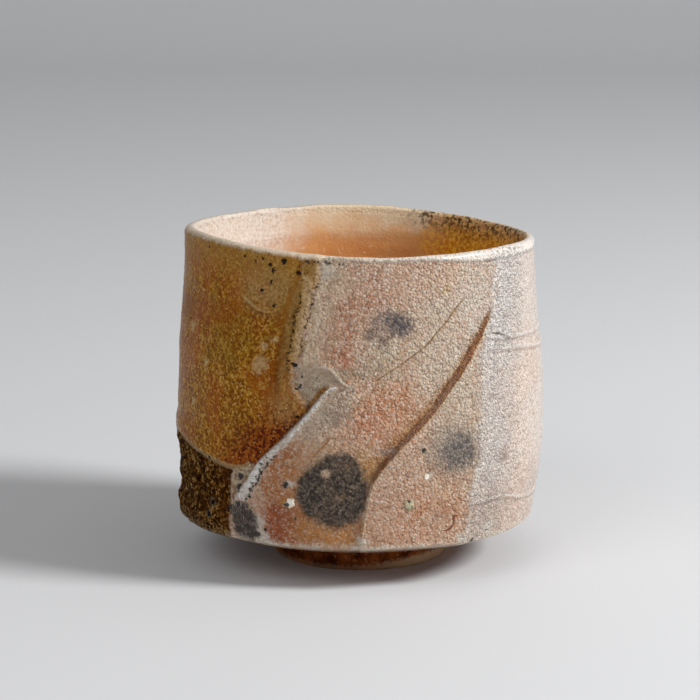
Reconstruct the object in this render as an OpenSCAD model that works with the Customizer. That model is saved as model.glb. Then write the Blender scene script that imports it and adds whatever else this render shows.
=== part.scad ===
// Yunomi: a handleless tea cup, thrown, cut on one side, and set on a trimmed foot ring.
// Angles go round from the front (-Y), and are positive towards +X.

/* [Body] */
// Mean height of the rim above the table
cup_h = 76.6; // [60:0.1:100]
// Radius of the rim
rim_r = 40.4; // [34:0.1:50]
// Radius of the wall at its widest
belly_r = 43; // [36:0.1:55]
// Height of the widest place
belly_h = 33; // [25:0.5:45]
// Radius of the wall just above its lower corner
corner_r = 40.6; // [34:0.1:52]
// Height at which the wall turns in to the underside
corner_h = 10; // [9:0.1:14]
// Thickness of the lip
lip_t = 2.4; // [1.6:0.1:4]
// Thickness of the wall below the lip's taper
wall_t = 5.2; // [4.4:0.1:8]
// Depth below the rim over which the wall thickens from lip to body
taper_h = 26; // [10:0.5:40]

/* [Rim] */
// How far the rim climbs from its lowest to its mean height
rim_tilt = 1.2; // [0:0.1:2.5]
// Direction of the rim's high side
rim_tilt_a = -75; // [-180:1:180]
// Height of the slow waves along the rim
rim_wave = 0.6; // [0:0.1:1.5]
// Direction of one crest of those waves
rim_wave_a = -60; // [-180:1:180]

/* [Front cuts] */
// Depth of the paddled front face below the round, at the rim
face_top_d = 1.3; // [0:0.1:2]
// Depth of the paddled front face below the round, at the corner
face_low_d = 2.3; // [0:0.1:2.8]
// How far the back was pressed in by the hand that held the cup
back_press_d = 0.9; // [0:0.1:2]
// Depth of the slanting knife cut along its steep edge
cut_d = 1.2; // [0:0.1:1.4]
// Height of the torn ridge beside the ash glaze
ridge_h = 0.6; // [0:0.1:1.2]
// Depth of the glazed hollow left of that ridge
hollow_d = 0.7; // [0:0.1:1.2]
// Relief of the ledge and heel on the left side
left_relief = 1.5; // [0:0.1:2]
// Relief of the throwing rings on the right side
right_relief = 0.35; // [0:0.05:1]

/* [Floor and foot] */
// Radius of the floor disc
floor_r = 32; // [24:0.5:34]
// Thickness of the floor
floor_t = 4.4; // [3:0.1:8]
// Height of the round between floor and wall, inside
inner_round_h = 9; // [5:0.5:14]
// Height of the foot ring
foot_h = 8; // [4.5:0.1:8.5]
// Radius of the foot ring where it meets the floor
foot_top_r = 21.2; // [18:0.1:22]
// Radius of the foot ring at the table
foot_low_r = 20.4; // [17:0.1:22]
// Width of the foot ring
foot_w = 4.6; // [3:0.1:7]
// Bevel on the lower edges of the foot ring
foot_bevel = 0.6; // [0.2:0.1:1]

/* [Glaze and stones] */
// Thickness of the liner glaze
liner_t = 0.4; // [0.2:0.05:0.8]
// Drop from the rim to the upper edge of the liner glaze
liner_drop = 2.2; // [1:0.1:5]
// Thickness of the ash glaze on the left side
ash_t = 0.35; // [0.15:0.05:0.8]
// Thickness of the crust below the ledge
crust_t = 0.45; // [0.15:0.05:0.9]
// Thickness of a glaze or crust at its edges
skin_edge_t = 0.12; // [0.05:0.01:0.15]
// Clearance between a skin and the clay
skin_gap = 0.1; // [0.06:0.01:0.2]
// Radius of the largest stone in the clay
stone_r = 1.5; // [0.6:0.1:2.5]

/* [Hidden] */
$fn = 96;

// Columns of the wall: behind the front, across the slanting cut, and right of the cut
back_cols = 54;
band_cols = 9;
right_cols = 5;
// Rows of the wall: outside, over the lip, inside, in the inner round, and below
outer_rows = 34;
lip_rows = 5;
inner_rows = 9;
round_rows = 4;
under_rows = 3;
// Half widths, as angles, of the torn ridge and of the steep edge of the cut
ridge_half_a = 1.2;
edge_half_a = 0.6;
// Least angles kept between the three guide lines
edge_room_a = 3;
ridge_room_a = 5;
// Middle of the front face, and how far it fades to the left
face_mid_a = 12;
face_fade_a = 62;
// How far the glazed hollow fades to the left
hollow_fade_a = 34;
// Shape of the cut from its soft side to its steep edge
cut_power = 1.6;
// Number of slow waves round the rim
rim_waves = 3;

// Guide lines as [share of the cup's height, angle]
face_edge_shares = [[0.1, 34], [0.18, 36], [0.3, 37], [0.42, 39], [0.64, 40.5], [0.72, 42], [0.8, 45.5], [1, 49]];
cut_edge_shares = [[0.1, 0], [0.17, 0], [0.27, 1.8], [0.335, 3.3], [0.385, 6.7], [0.445, 12.5], [0.5, 18.7],
    [0.55, 24], [0.607, 28.8], [0.67, 34.5], [0.712, 37.6], [0.757, 41], [0.83, 46], [1, 48]];
ridge_shares = [[0.1, -46], [0.26, -43.5], [0.33, -37.5], [0.37, -35], [0.42, -30.4], [0.47, -25.2],
    [0.53, -18.8], [0.6, -12.2], [0.635, -8.5], [0.655, 4], [0.69, 12.5], [0.755, 22.5], [0.814, 29],
    [0.87, 34.5], [1, 42]];
// Share of its depth that each cut has at a share of the cup's height
cut_fade_shares = [[0.1, 0.5], [0.2, 0.8], [0.35, 1], [0.7, 1], [0.82, 0.2], [0.86, 0]];
ridge_fade_shares = [[0.24, 0], [0.31, 1], [0.58, 1], [0.64, 0]];
// Relief of the two sides, as [share of the cup's height, share of the relief]
left_relief_shares = [[0.1, 0.7], [0.15, 1], [0.18, 1], [0.2, 0.35], [0.23, 0], [0.28, -0.1], [0.33, -0.33],
    [0.37, -0.15], [0.4, 0.06], [0.42, 0], [0.45, -0.35], [0.55, -0.3], [0.65, -0.05], [0.75, 0], [1, 0]];
right_relief_shares = [[0.1, 0], [0.19, -0.3], [0.22, -0.8], [0.25, 0], [0.55, 0.2], [0.685, 1], [0.7, -0.2],
    [0.75, -0.4], [0.84, 0.2], [1, 0]];
// Middle, half width and fade, as angles, of the relief on the left and on the right
left_span_a = [-106, 40, 32];
right_span_a = [84, 26, 20];
// Half width, as an angle, of the pressed back
back_half_a = 70;

// Right edge of the ash glaze and of the crust, as [share of the cup's height, angle]
ash_edge_shares = [[0.37, -46], [0.42, -37], [0.5, -26], [0.55, -24], [0.7, -24], [0.85, -21], [1, -18]];
crust_edge_shares = [[0.1, -34], [0.18, -36], [0.24, -50], [0.34, -56]];
// Rows of the wall at which each skin begins and ends, and the angle at which both end behind
ash_low_row = 10;
ash_top_row = 33;
crust_low_row = 1;
crust_top_row = 8;
skin_back_a = -150;
skin_cols = 24;
// Steps over which a skin grows from its edge to its full thickness
skin_edge_steps = 2;

// Stones, as [angle, share of the cup's height, share of the largest radius]
stone_shares = [[16, 0.27, 1], [-22, 0.272, 0.8], [21, 0.354, 0.5]];
stone_rise_share = 0.4;

floor_h = foot_h + floor_t;
// The wall's hole for the floor is a polygon round the floor's true circle
hole_r = floor_r / cos(180 / back_cols);

function ease(t) = let (c = min(max(t, 0), 1)) c * c * (3 - 2 * c);
function mix(a, b, t) = a + (b - a) * t;
function spot(r, a, z) = [r * sin(a), -r * cos(a), z];

// Height of the rim at an angle, and of a place on the wall at a share of that height
function rim_h(a) = cup_h + rim_tilt * cos(a - rim_tilt_a) + rim_wave * cos(rim_waves * (a - rim_wave_a));
function wall_z(a, s) = s * rim_h(a);

// The three guide lines down the front
function face_edge(s) = lookup(s, face_edge_shares);
function cut_edge(s) = min(lookup(s, cut_edge_shares), face_edge(s) - edge_room_a);
function ridge(s) = min(lookup(s, ridge_shares), cut_edge(s) - ridge_room_a);

// Round profile of the thrown wall
function round_r(z) = z < belly_h
    ? mix(corner_r, belly_r, sin(90 * max(0, (z - corner_h) / (belly_h - corner_h))))
    : mix(belly_r, rim_r, ease((z - belly_h) / (cup_h - belly_h)));

// Depth of the paddled front face, with a sharp right edge and a soft left side
function face_depth(a, s) = mix(face_low_d, face_top_d, s) * (
    a > face_edge(s) ? 0
    : a > face_mid_a ? 1 - pow((a - face_mid_a) / (face_edge(s) - face_mid_a), 2)
    : 1 - ease((face_mid_a - a) / face_fade_a));

// Depth of the slanting cut, deepest along its steep edge
function cut_depth(a, s) = a < ridge(s) || a > cut_edge(s) ? 0
    : cut_d * lookup(s, cut_fade_shares)
        * pow(min(1, (a - ridge(s)) / (cut_edge(s) - edge_half_a - ridge(s))), cut_power);

// The torn ridge, and the glazed hollow left of it
function ridge_rise(a, s) = lookup(s, ridge_fade_shares) * (
    ridge_h * max(0, 1 - abs(a - ridge(s)) / ridge_half_a)
    - (a < ridge(s) - ridge_half_a / 2 ? hollow_d * (1 - ease((ridge(s) - a) / hollow_fade_a)) : 0));

// Share left of a relief that spans an angle and fades at both ends
function turn(a, middle) = abs((a - middle + 540) % 360 - 180);
function span(a, where) = 1 - ease((turn(a, where[0]) - where[1]) / where[2]);
function back_press(a) = back_press_d * (1 - ease(turn(a, 180) / back_half_a));
function side_relief(a, s) = left_relief * span(a, left_span_a) * lookup(s, left_relief_shares)
    + right_relief * span(a, right_span_a) * lookup(s, right_relief_shares);

function outer_r(a, s) = round_r(s * cup_h) - face_depth(a, s) - cut_depth(a, s)
    + ridge_rise(a, s) + side_relief(a, s) - back_press(a);

// Inside of the wall: a constant lip that thickens downwards
function lip_share(s) = 1 - ease((1 - s) * cup_h / taper_h);
function inner_r(a, s) = round_r(s * cup_h) - mix(wall_t, lip_t, lip_share(s))
    - face_depth(a, s) * lip_share(s) - back_press(a);

// Angles of one row's columns, which follow the guide lines
function columns(s) = let (f = face_edge(s), c = cut_edge(s), d = ridge(s),
        b0 = d + ridge_half_a, b1 = c - edge_half_a, c0 = c + edge_half_a) concat(
    [for (i = [0:back_cols - 1]) mix(f - 360, d - ridge_half_a, i / back_cols)],
    [d - ridge_half_a, d],
    [for (i = [0:band_cols]) mix(b0, b1, i / band_cols)],
    [for (i = [0:right_cols - 1]) mix(c0, f, i / right_cols)]);

corner_share = corner_h / cup_h;
lip_share_top = 1 - lip_t / 2 / cup_h;
round_share = (floor_h + inner_round_h) / cup_h;
low_cols = columns(corner_share);
top_cols = columns(lip_share_top);
cols = len(low_cols);

function row_share(j) = mix(corner_share, lip_share_top, j / outer_rows);
function outer_ring(s) = [for (a = columns(s)) spot(outer_r(a, s), a, wall_z(a, s))];
function inner_ring(s, inset) = [for (a = columns(s)) spot(inner_r(a, s) - inset, a, wall_z(a, s))];

// Half round of the lip, from outside to inside
function lip_ring(t) = [for (a = top_cols)
    let (ro = outer_r(a, lip_share_top), ri = inner_r(a, lip_share_top), mid = (ro + ri) / 2, half = (ro - ri) / 2)
    spot(mid + half * cos(t), a, wall_z(a, lip_share_top) + half * sin(t))];

// Quarter round from the inner wall to the floor, drawn in by a skin's thickness
function round_ring(t, inset, floor_in) = [for (a = low_cols)
    let (r = inner_r(a, round_share) - inset)
    spot(mix(r, floor_in, 1 - cos(t)), a,
        floor_h + inset + (wall_z(a, round_share) - floor_h - inset) * (1 - sin(t)))];

// Underside, from the floor's edge out to the corner
function under_ring(t) = [for (a = low_cols)
    spot(mix(hole_r, outer_r(a, corner_share), t), a, mix(foot_h, wall_z(a, corner_share), t * t))];

function hole_ring(z) = [for (a = low_cols) spot(hole_r, a, z)];

// Triangles over a grid of rings; closed ones join the last ring to the first
function ring_faces(rings, n, closed) = [
    for (j = [0:rings - (closed ? 1 : 2)], i = [0:n - 1])
        let (k = (i + 1) % n, m = (j + 1) % rings)
        each [[j * n + i, m * n + i, m * n + k], [j * n + i, m * n + k, j * n + k]]];

module cup_wall() {
    rings = concat(
        [for (j = [0:outer_rows]) outer_ring(row_share(j))],
        [for (j = [1:lip_rows]) lip_ring(180 * j / lip_rows)],
        [for (j = [1:inner_rows]) inner_ring(mix(lip_share_top, round_share, j / inner_rows), 0)],
        [for (j = [1:round_rows]) round_ring(90 * j / round_rows, 0, hole_r)],
        [hole_ring(foot_h)],
        [for (j = [1:under_rows - 1]) under_ring(j / under_rows)]);
    color("tan")
        polyhedron([for (ring = rings) each ring], ring_faces(len(rings), cols, true), convexity = 6);
}

module cup_floor() {
    color("peru")
        translate([0, 0, foot_h])
            cylinder(r = floor_r, h = floor_t);
}

module foot_ring() {
    color("sienna")
        rotate_extrude()
            polygon([
                [foot_low_r - foot_w + foot_bevel, 0],
                [foot_low_r - foot_bevel, 0],
                [foot_low_r, foot_bevel],
                [foot_top_r, foot_h],
                [foot_low_r - foot_w - foot_bevel, foot_h],
                [foot_low_r - foot_w, foot_bevel]]);
}

module liner_glaze() {
    top_share = 1 - liner_drop / cup_h;
    low_in = floor_r - liner_t;
    outside = concat(
        [for (j = [0:round_rows]) round_ring(90 - 90 * j / round_rows, skin_gap, hole_r)],
        [for (j = [1:inner_rows]) inner_ring(mix(round_share, top_share, j / inner_rows), skin_gap)]);
    inside = concat(
        [for (j = [0:inner_rows - 1])
            inner_ring(mix(top_share, round_share, j / inner_rows), skin_gap + liner_t)],
        [for (j = [0:round_rows]) round_ring(90 * j / round_rows, skin_gap + liner_t, low_in)]);
    rings = concat(outside, inside);
    points = [for (ring = rings) each ring];
    n = len(points);
    last = n - cols;
    faces = concat(
        ring_faces(len(rings), cols, false),
        [for (i = [0:cols - 1]) [n, i, (i + 1) % cols]],
        [for (i = [0:cols - 1]) [n + 1, last + (i + 1) % cols, last + i]]);
    centres = [[0, 0, floor_h + skin_gap], [0, 0, floor_h + skin_gap + liner_t]];
    color("burlywood")
        polyhedron(concat(points, centres), faces, convexity = 6);
}

// A thin skin on the outside of the wall, between two of its rows and two angles
module wall_skin(low, top, edges, thick) {
    rows = top - low;
    place = [for (j = [0:rows], i = [0:skin_cols])
        let (s = row_share(low + j), e = lookup(s, edges))
        [mix(skin_back_a, e, i / skin_cols), s, min(min(i, skin_cols - i), min(j, rows - j)) / skin_edge_steps]];
    back_points = [for (p = place) spot(outer_r(p[0], p[1]) + skin_gap, p[0], wall_z(p[0], p[1]))];
    front_points = [for (p = place)
        spot(outer_r(p[0], p[1]) + skin_gap + mix(skin_edge_t, thick, ease(p[2])), p[0], wall_z(p[0], p[1]))];
    w = skin_cols + 1;
    n = len(place);
    grid = [for (j = [0:rows - 1], i = [0:skin_cols - 1]) j * w + i];
    rim = concat(
        [for (i = [0:skin_cols - 1]) [i, i + 1]],
        [for (j = [0:rows - 1]) [j * w + skin_cols, (j + 1) * w + skin_cols]],
        [for (i = [skin_cols:-1:1]) [rows * w + i, rows * w + i - 1]],
        [for (j = [rows:-1:1]) [j * w, (j - 1) * w]]);
    faces = concat(
        [for (q = grid) each [[n + q, n + q + w, n + q + w + 1], [n + q, n + q + w + 1, n + q + 1]]],
        [for (q = grid) each [[q, q + w + 1, q + w], [q, q + 1, q + w + 1]]],
        [for (e = rim) each [[e[0], n + e[0], n + e[1]], [e[0], n + e[1], e[1]]]]);
    polyhedron(concat(back_points, front_points), faces, convexity = 6);
}

module ash_glaze() {
    color("darkgoldenrod")
        wall_skin(ash_low_row, ash_top_row, ash_edge_shares, ash_t);
}

module kiln_crust() {
    color("saddlebrown")
        wall_skin(crust_low_row, crust_top_row, crust_edge_shares, crust_t);
}

// A stone's rounded head, standing on its flat base
module stone(r) {
    rise = r * stone_rise_share;
    rotate_extrude($fn = 24)
        polygon([[0, 0], [r, 0], [r * cos(30), rise * sin(30)], [r * cos(60), rise * sin(60)], [0, rise]]);
}

// A stone laid against the wall, leaning as the wall does there
module laid_stone(a, s, r) {
    reach = r / cup_h;
    lean = atan((outer_r(a, s + reach) - outer_r(a, s - reach)) / 2 / r);
    translate(spot(outer_r(a, s) + skin_gap, a, wall_z(a, s)))
        rotate([90 + lean, 0, a])
            stone(r);
}

module stone_chips() {
    color("gainsboro")
        for (p = stone_shares)
            laid_stone(p[0], p[1], stone_r * p[2]);
}

cup_wall();
cup_floor();
foot_ring();
liner_glaze();
ash_glaze();
kiln_crust();
stone_chips();
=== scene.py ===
import bpy
import math
import numpy as np
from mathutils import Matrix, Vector, noise


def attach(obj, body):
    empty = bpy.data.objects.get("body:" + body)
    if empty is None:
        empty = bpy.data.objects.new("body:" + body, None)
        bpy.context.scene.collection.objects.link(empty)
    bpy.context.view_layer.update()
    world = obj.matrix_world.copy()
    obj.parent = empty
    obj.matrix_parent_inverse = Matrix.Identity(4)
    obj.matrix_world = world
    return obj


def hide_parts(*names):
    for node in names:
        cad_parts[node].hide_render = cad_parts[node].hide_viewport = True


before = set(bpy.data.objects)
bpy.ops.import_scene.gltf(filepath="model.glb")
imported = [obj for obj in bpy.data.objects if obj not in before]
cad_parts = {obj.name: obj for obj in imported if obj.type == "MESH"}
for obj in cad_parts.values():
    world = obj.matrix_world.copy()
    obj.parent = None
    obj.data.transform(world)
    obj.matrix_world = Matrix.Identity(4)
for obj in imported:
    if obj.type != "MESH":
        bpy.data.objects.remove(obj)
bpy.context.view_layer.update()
print("stage: frame loaded")

mm = 0.001   # sizes are in millimetres and degrees unless a note says metres, and meshes are made in metres

# The thrown body, with the sizes that the solids have. Angles go round from the front (-Y) towards +X.
# A span is (middle, half width, softness) in degrees.
body = {
    "cupHeight": 76.6, "rimRadius": 40.4, "bellyRadius": 43.0, "bellyHeight": 33.0,
    "cornerRadius": 40.6, "cornerHeight": 10.0, "lip": 2.4, "wall": 5.2, "taper": 26.0,
    "rimTilt": 1.2, "rimTiltAngle": -75, "rimWave": 0.6, "rimWaveAngle": -60, "rimWaves": 3,
    "faceTop": 1.3, "faceLow": 2.3, "faceMiddle": 12, "faceFade": 62,
    "backPress": 0.9, "backHalf": 70,
    "leftRelief": 1.5, "leftSpan": (-106, 40, 32), "rightRelief": 0.35, "rightSpan": (84, 26, 20),
    "floorRadius": 32.0, "floorThick": 4.4, "innerRound": 9.0, "footHeight": 8.0,
}
floorTop = body["footHeight"] + body["floorThick"]
roundShare = (floorTop + body["innerRound"]) / body["cupHeight"]   # where the inside starts to round

# Guide lines down the front, as (share of the height, angle)
guides = {
    "faceEdge": [(0.1, 34), (0.18, 36), (0.3, 37), (0.42, 39), (0.64, 40.5), (0.72, 42), (0.8, 45.5),
                 (0.88, 47.6), (1, 49)],
    "cutEdge": [(0.1, 0), (0.17, 0), (0.27, 1.8), (0.335, 3.3), (0.385, 6.7), (0.445, 12.5), (0.5, 18.7),
                (0.55, 24), (0.607, 28.8), (0.67, 34.5), (0.712, 37.6), (0.757, 41), (0.83, 46), (1, 48)],
    "ridge": [(0.1, -46), (0.26, -42.6), (0.33, -35.9), (0.37, -33.6), (0.42, -28.7), (0.47, -22.9),
              (0.53, -17.2), (0.6, -11.6), (0.635, -8.2), (0.655, 4), (0.69, 12.5), (0.755, 22.5),
              (0.814, 29), (0.87, 34.5), (1, 42)],
    "ashBorder": [(0.1, -46.5), (0.26, -43.1), (0.33, -36.4), (0.37, -34.1), (0.42, -29.2), (0.47, -23.4),
                  (0.53, -17.7), (0.572, -14.6), (0.584, -16.2), (0.6, -18.9), (0.62, -20.1), (0.69, -20.1),
                  (0.71, -18.2), (0.75, -17.4), (0.81, -16.5), (0.85, -15.3), (0.9, -13.8), (0.94, -12.5),
                  (1, -12)],
    "ashLine": [(0.1, -29), (0.55, -27.2), (0.6, -26.6), (0.67, -25.9), (0.72, -25.5), (0.8, -24.4),
                (0.84, -23.8), (0.9, -21.7), (0.925, -20), (1, -19.2)],
}
guideShares = np.linspace(0.1, 1.0, 46)            # where a guide line is sampled to measure from it
guideSoftening = (-0.018, -0.009, 0, 0.009, 0.018)   # the stretch over which its corners are rounded

# Shares of each depth along the height
fades = {
    "cut": [(0.1, 0.5), (0.2, 0.8), (0.35, 1), (0.7, 1), (0.78, 0.6), (0.83, 0.2), (0.86, 0)],
    "ridge": [(0.24, 0), (0.31, 1), (0.58, 1), (0.64, 0.3), (0.67, 0)],
    "left": [(0.1, 0.7), (0.15, 1), (0.18, 1), (0.2, 0.35), (0.23, 0), (0.28, -0.1), (0.33, -0.33),
             (0.37, -0.15), (0.4, 0.06), (0.42, 0), (0.45, -0.35), (0.55, -0.3), (0.65, -0.05), (0.75, 0),
             (1, 0)],
    "right": [(0.1, 0), (0.19, -0.3), (0.22, -0.8), (0.25, 0), (0.55, 0.2), (0.685, 1), (0.7, -0.2),
              (0.75, -0.4), (0.84, 0.2), (1, 0)],
}


def ease(t):
    t = np.clip(t, 0, 1)
    return t * t * (3 - 2 * t)


def mix(a, b, t):
    return a + (b - a) * t


def along(table, share):
    keys, values = zip(*table)
    return np.interp(share, keys, values)


def guide(name, share):   # a guide line with rounded corners
    return sum(along(guides[name], share + d) for d in guideSoftening) / len(guideSoftening)


def turn(angle, middle):   # degrees between two angles, the short way round
    return np.abs((angle - middle + 540) % 360 - 180)


def wrapped(angle):   # the same angles from -180 to 180
    return np.where(angle > 180, angle - 360, angle)


def turns(step):
    return wrapped(np.arange(0, 360, step))


def span(angle, where):
    middle, half, soft = where
    return 1 - ease((turn(angle, middle) - half) / soft)


def placed(radius, angle, z):
    a = np.radians(angle)
    return np.stack(np.broadcast_arrays(radius * np.sin(a), -radius * np.cos(a), z), axis=-1)


lumpShift, lumpGain = (7.1, 3.3, 5.7), 1.6   # a step from seed to seed, and what brings the noise to -1 to 1


def lumps(points, size, seed):   # soft unevenness from -1 to 1, with lumps of a size in mm
    shift = Vector([seed * part for part in lumpShift])
    return np.array([noise.noise(Vector(p) / size + shift) for p in points]) * lumpGain


def bead(distance, height, half):
    return height * np.exp(-(distance / half) ** 2)


def rimHeight(angle):
    b = body
    return (b["cupHeight"] + b["rimTilt"] * np.cos(np.radians(angle - b["rimTiltAngle"]))
            + b["rimWave"] * np.cos(np.radians(b["rimWaves"] * (angle - b["rimWaveAngle"]))))


def roundRadius(z):
    b = body
    low = np.sin(np.pi / 2 * np.clip((z - b["cornerHeight"]) / (b["bellyHeight"] - b["cornerHeight"]), 0, 1))
    high = ease((z - b["bellyHeight"]) / (b["cupHeight"] - b["bellyHeight"]))
    return np.where(z < b["bellyHeight"], mix(b["cornerRadius"], b["bellyRadius"], low),
                    mix(b["bellyRadius"], b["rimRadius"], high))


def faceDepth(angle, share):   # how far the front is paddled flat, up to the face's edge
    b = body
    edge = guide("faceEdge", share)
    right = 1 - ((angle - b["faceMiddle"]) / (edge - b["faceMiddle"])) ** 2
    left = 1 - ease((b["faceMiddle"] - angle) / b["faceFade"])
    depth = np.where(angle > edge, 0, np.where(angle > b["faceMiddle"], right, left))
    return mix(b["faceLow"], b["faceTop"], share) * depth


def backPress(angle):
    return body["backPress"] * (1 - ease(turn(angle, 180) / body["backHalf"]))


unrollRadius = 42.0   # the wall is unrolled at this radius, so that marks are measured in mm


def unrolled(angle, z):
    return np.radians(angle) * unrollRadius, z


def distanceTo(angle, z, points):   # least distance in mm on the unrolled wall to a chain of (angle, z)
    u, v = unrolled(angle, z)
    best = np.full(np.shape(u), np.inf)
    for (a0, z0), (a1, z1) in zip(points[:-1], points[1:]):
        (u0, v0), (u1, v1) = unrolled(a0, z0), unrolled(a1, z1)
        du, dv = u1 - u0, v1 - v0
        t = np.clip(((u - u0) * du + (v - v0) * dv) / (du * du + dv * dv), 0, 1)
        best = np.minimum(best, np.hypot(u - u0 - t * du, v - v0 - t * dv))
    return best


def guideDistance(angle, z, name):   # in mm, positive to the right of the guide line
    points = list(zip(guide(name, guideShares), guideShares * body["cupHeight"]))
    side = np.sign(angle - guide(name, z / body["cupHeight"]))
    return side * distanceTo(angle, z, points)


# Marks made while the clay was soft or the glaze ran, as chains of (angle, height) on the wall
marks = {
    "ledge": [(-175, 29.6), (-130, 29), (-95, 30.6), (-75.3, 30.9), (-69.6, 30.2), (-62.7, 29.2),
              (-56.5, 28.5), (-51.2, 27.9), (-45, 27.2), (-40.8, 27.2), (-37.9, 27.8), (-36, 28.8)],
    "shortLedge": [(-66, 68.2), (-58, 66.6), (-52, 65.6), (-46, 65.6)],
    "arc": [(-40, 66.6), (-38, 65.7), (-36, 64.6), (-32.9, 63.7), (-29.3, 63.4)],
    "drapeLeft": [(-18.5, 70), (-19, 67.7), (-18.9, 66.2), (-19.9, 64.6), (-20.8, 63), (-20.7, 60.6),
                  (-21.3, 59), (-21.9, 56.8), (-22.4, 54.3), (-22, 50.1)],
    "drapeRight": [(-13.2, 70.5), (-14.8, 68), (-15, 66.3), (-16, 64.3), (-16.6, 62.5), (-17.5, 60.3),
                   (-18, 57.6), (-18.3, 56.3), (-17.3, 55)],
    "hook": [(-12.4, 52.3), (-9.9, 52.1), (-8.4, 51.1), (-7.2, 49.9), (-5.7, 49), (-3.8, 48.2), (-1.3, 47.9)],
    "ringHigh": [(42, 57), (51.5, 56), (60.7, 55.6), (84, 54.6), (110, 54), (150, 54)],
    "ringMiddle": [(43.9, 54.1), (56.7, 53.3), (79.9, 51.1), (110, 50.6), (140, 51)],
    "ringLow": [(36.9, 19.6), (41.7, 19.5), (46, 19.8), (51, 19.5), (61, 17.6), (70.8, 16.6), (95, 15.6),
                (130, 15.2)],
    "crack": [(45.7, 57.7), (49.1, 57.3), (51.6, 56.4), (54.3, 55.9)],
    "dash": [(-14.5, 32), (-12.3, 33.7), (-10.8, 34.8), (-9.3, 36.4)],
    "score": [(4.9, 49.2), (8.7, 50.9), (12.5, 52.4), (16.4, 54.2), (19.1, 55.4), (22.5, 57.3), (25.3, 59.4),
              (29, 61.8), (32, 64.3), (34.6, 65.9), (37.4, 67.5)],
    "crescent": [(28.9, 13.7), (30.2, 14.3), (31.2, 15.6), (30.9, 17)],
}

# The step that the cut leaves, deepest at the cut's edge, with a lip along it and a groove inside the lip
cutStep = {"depth": 1.2, "power": 1.6, "leastGap": 4, "start": 0.12, "soft": 0.45,
           "lip": 0.14, "lipAt": 0.45, "lipHalf": 0.5, "groove": 0.2, "grooveAt": -0.7, "grooveHalf": 0.7}


def cutRelief(angle, z, share, ridge):
    g = cutStep
    cut = guideDistance(angle, z, "cutEdge")
    gap = np.maximum(guide("cutEdge", share) - guide("ridge", share), g["leastGap"])
    across = np.clip((angle - guide("ridge", share)) / gap, 0, 1)
    inBand = ease((g["start"] - cut) / g["soft"]) * (ridge > 0)
    lip = bead(cut - g["lipAt"], g["lip"], g["lipHalf"])
    groove = bead(cut - g["grooveAt"], g["groove"], g["grooveHalf"])
    return along(fades["cut"], share) * (lip - groove - g["depth"] * across ** g["power"] * inBand)


# The torn ridge, steeper on its left, the hollow on that side, and the hook with a dip above the ridge's end
tornRidge = {"rise": 0.6, "rough": 0.45, "roughGrain": (1.8, 3), "leftHalf": 0.45, "rightHalf": 0.8,
             "hollow": 0.7, "hollowEdge": 0.9, "hollowReach": 24, "hook": 0.34, "hookHalf": 0.45,
             "dip": 0.25, "dipEdge": 1.5, "dipFrom": 42, "dipTo": 53, "dipSoft": 3, "dipLeft": -24}


def ridgeRelief(angle, z, share, ridge, points):
    g, left = tornRidge, ridge < 0
    rough = 1 + g["rough"] * lumps(points, *g["roughGrain"])
    crest = g["rise"] * rough * bead(ridge, 1, np.where(left, g["leftHalf"], g["rightHalf"]))
    hollow = g["hollow"] * ease(-ridge / g["hollowEdge"]) * (1 - ease(-ridge / g["hollowReach"])) * left
    hook = bead(distanceTo(angle, z, marks["hook"]), g["hook"], g["hookHalf"])
    dip = g["dip"] * ease(-ridge / g["dipEdge"]) * left * (angle > g["dipLeft"])
    dip = dip * ease((z - g["dipFrom"]) / g["dipSoft"]) * ease((g["dipTo"] - z) / g["dipSoft"])
    return along(fades["ridge"], share) * (crest - hollow) + hook - dip


def outerRadius(angle, z, share, points):   # the clay's outside
    b = body
    radius = roundRadius(share * b["cupHeight"]) - faceDepth(angle, share) - backPress(angle)
    radius = radius + b["leftRelief"] * span(angle, b["leftSpan"]) * along(fades["left"], share)
    radius = radius + b["rightRelief"] * span(angle, b["rightSpan"]) * along(fades["right"], share)
    ridge = guideDistance(angle, z, "ridge")
    return radius + cutRelief(angle, z, share, ridge) + ridgeRelief(angle, z, share, ridge, points)


def innerRadius(angle, share):
    b = body
    lipShare = 1 - ease((1 - share) * b["cupHeight"] / b["taper"])
    return (roundRadius(share * b["cupHeight"]) - mix(b["wall"], b["lip"], lipShare)
            - faceDepth(angle, share) * lipShare - backPress(angle))


# Where the ash glaze and the crust end: the crust's front edge as (angle, height), and both at one angle
# behind, torn there by waves of (reach in mm, mm of height for a radian, start in radians)
crustBorder = [(-45.2, 9), (-45.3, 14), (-44.6, 18), (-44.2, 22), (-43.5, 25.4), (-41.4, 27.2)]
backBorder = {"angle": -152, "crustTear": 1.5,
              "waves": [(3, 15, 0), (1.8, 5.3, 1), (1.1, 2.4, 2), (0.7, 1.1, 4)]}


def behindDistance(angle, z, tear):   # in mm from the torn back border, positive inside the glaze
    torn = sum(reach * np.sin(z / scale + start) for reach, scale, start in backBorder["waves"])
    return np.radians(angle - backBorder["angle"]) * unrollRadius + tear * torn


def amberField(angle, z):   # mm inside the ash glaze
    front = -guideDistance(angle, z, "ashBorder")
    above = z - np.interp(angle, *zip(*marks["ledge"]))
    return np.minimum(np.minimum(front, behindDistance(angle, z, 1)), above)


def crustField(angle, z):   # mm inside the dark crust below the ledge
    angles, heights = zip(*crustBorder)
    front = np.radians(np.interp(z, heights, angles) - angle) * unrollRadius
    below = np.interp(angle, *zip(*marks["ledge"])) - z
    return np.minimum(np.minimum(front, behindDistance(angle, z, backBorder["crustTear"])), below)


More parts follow.
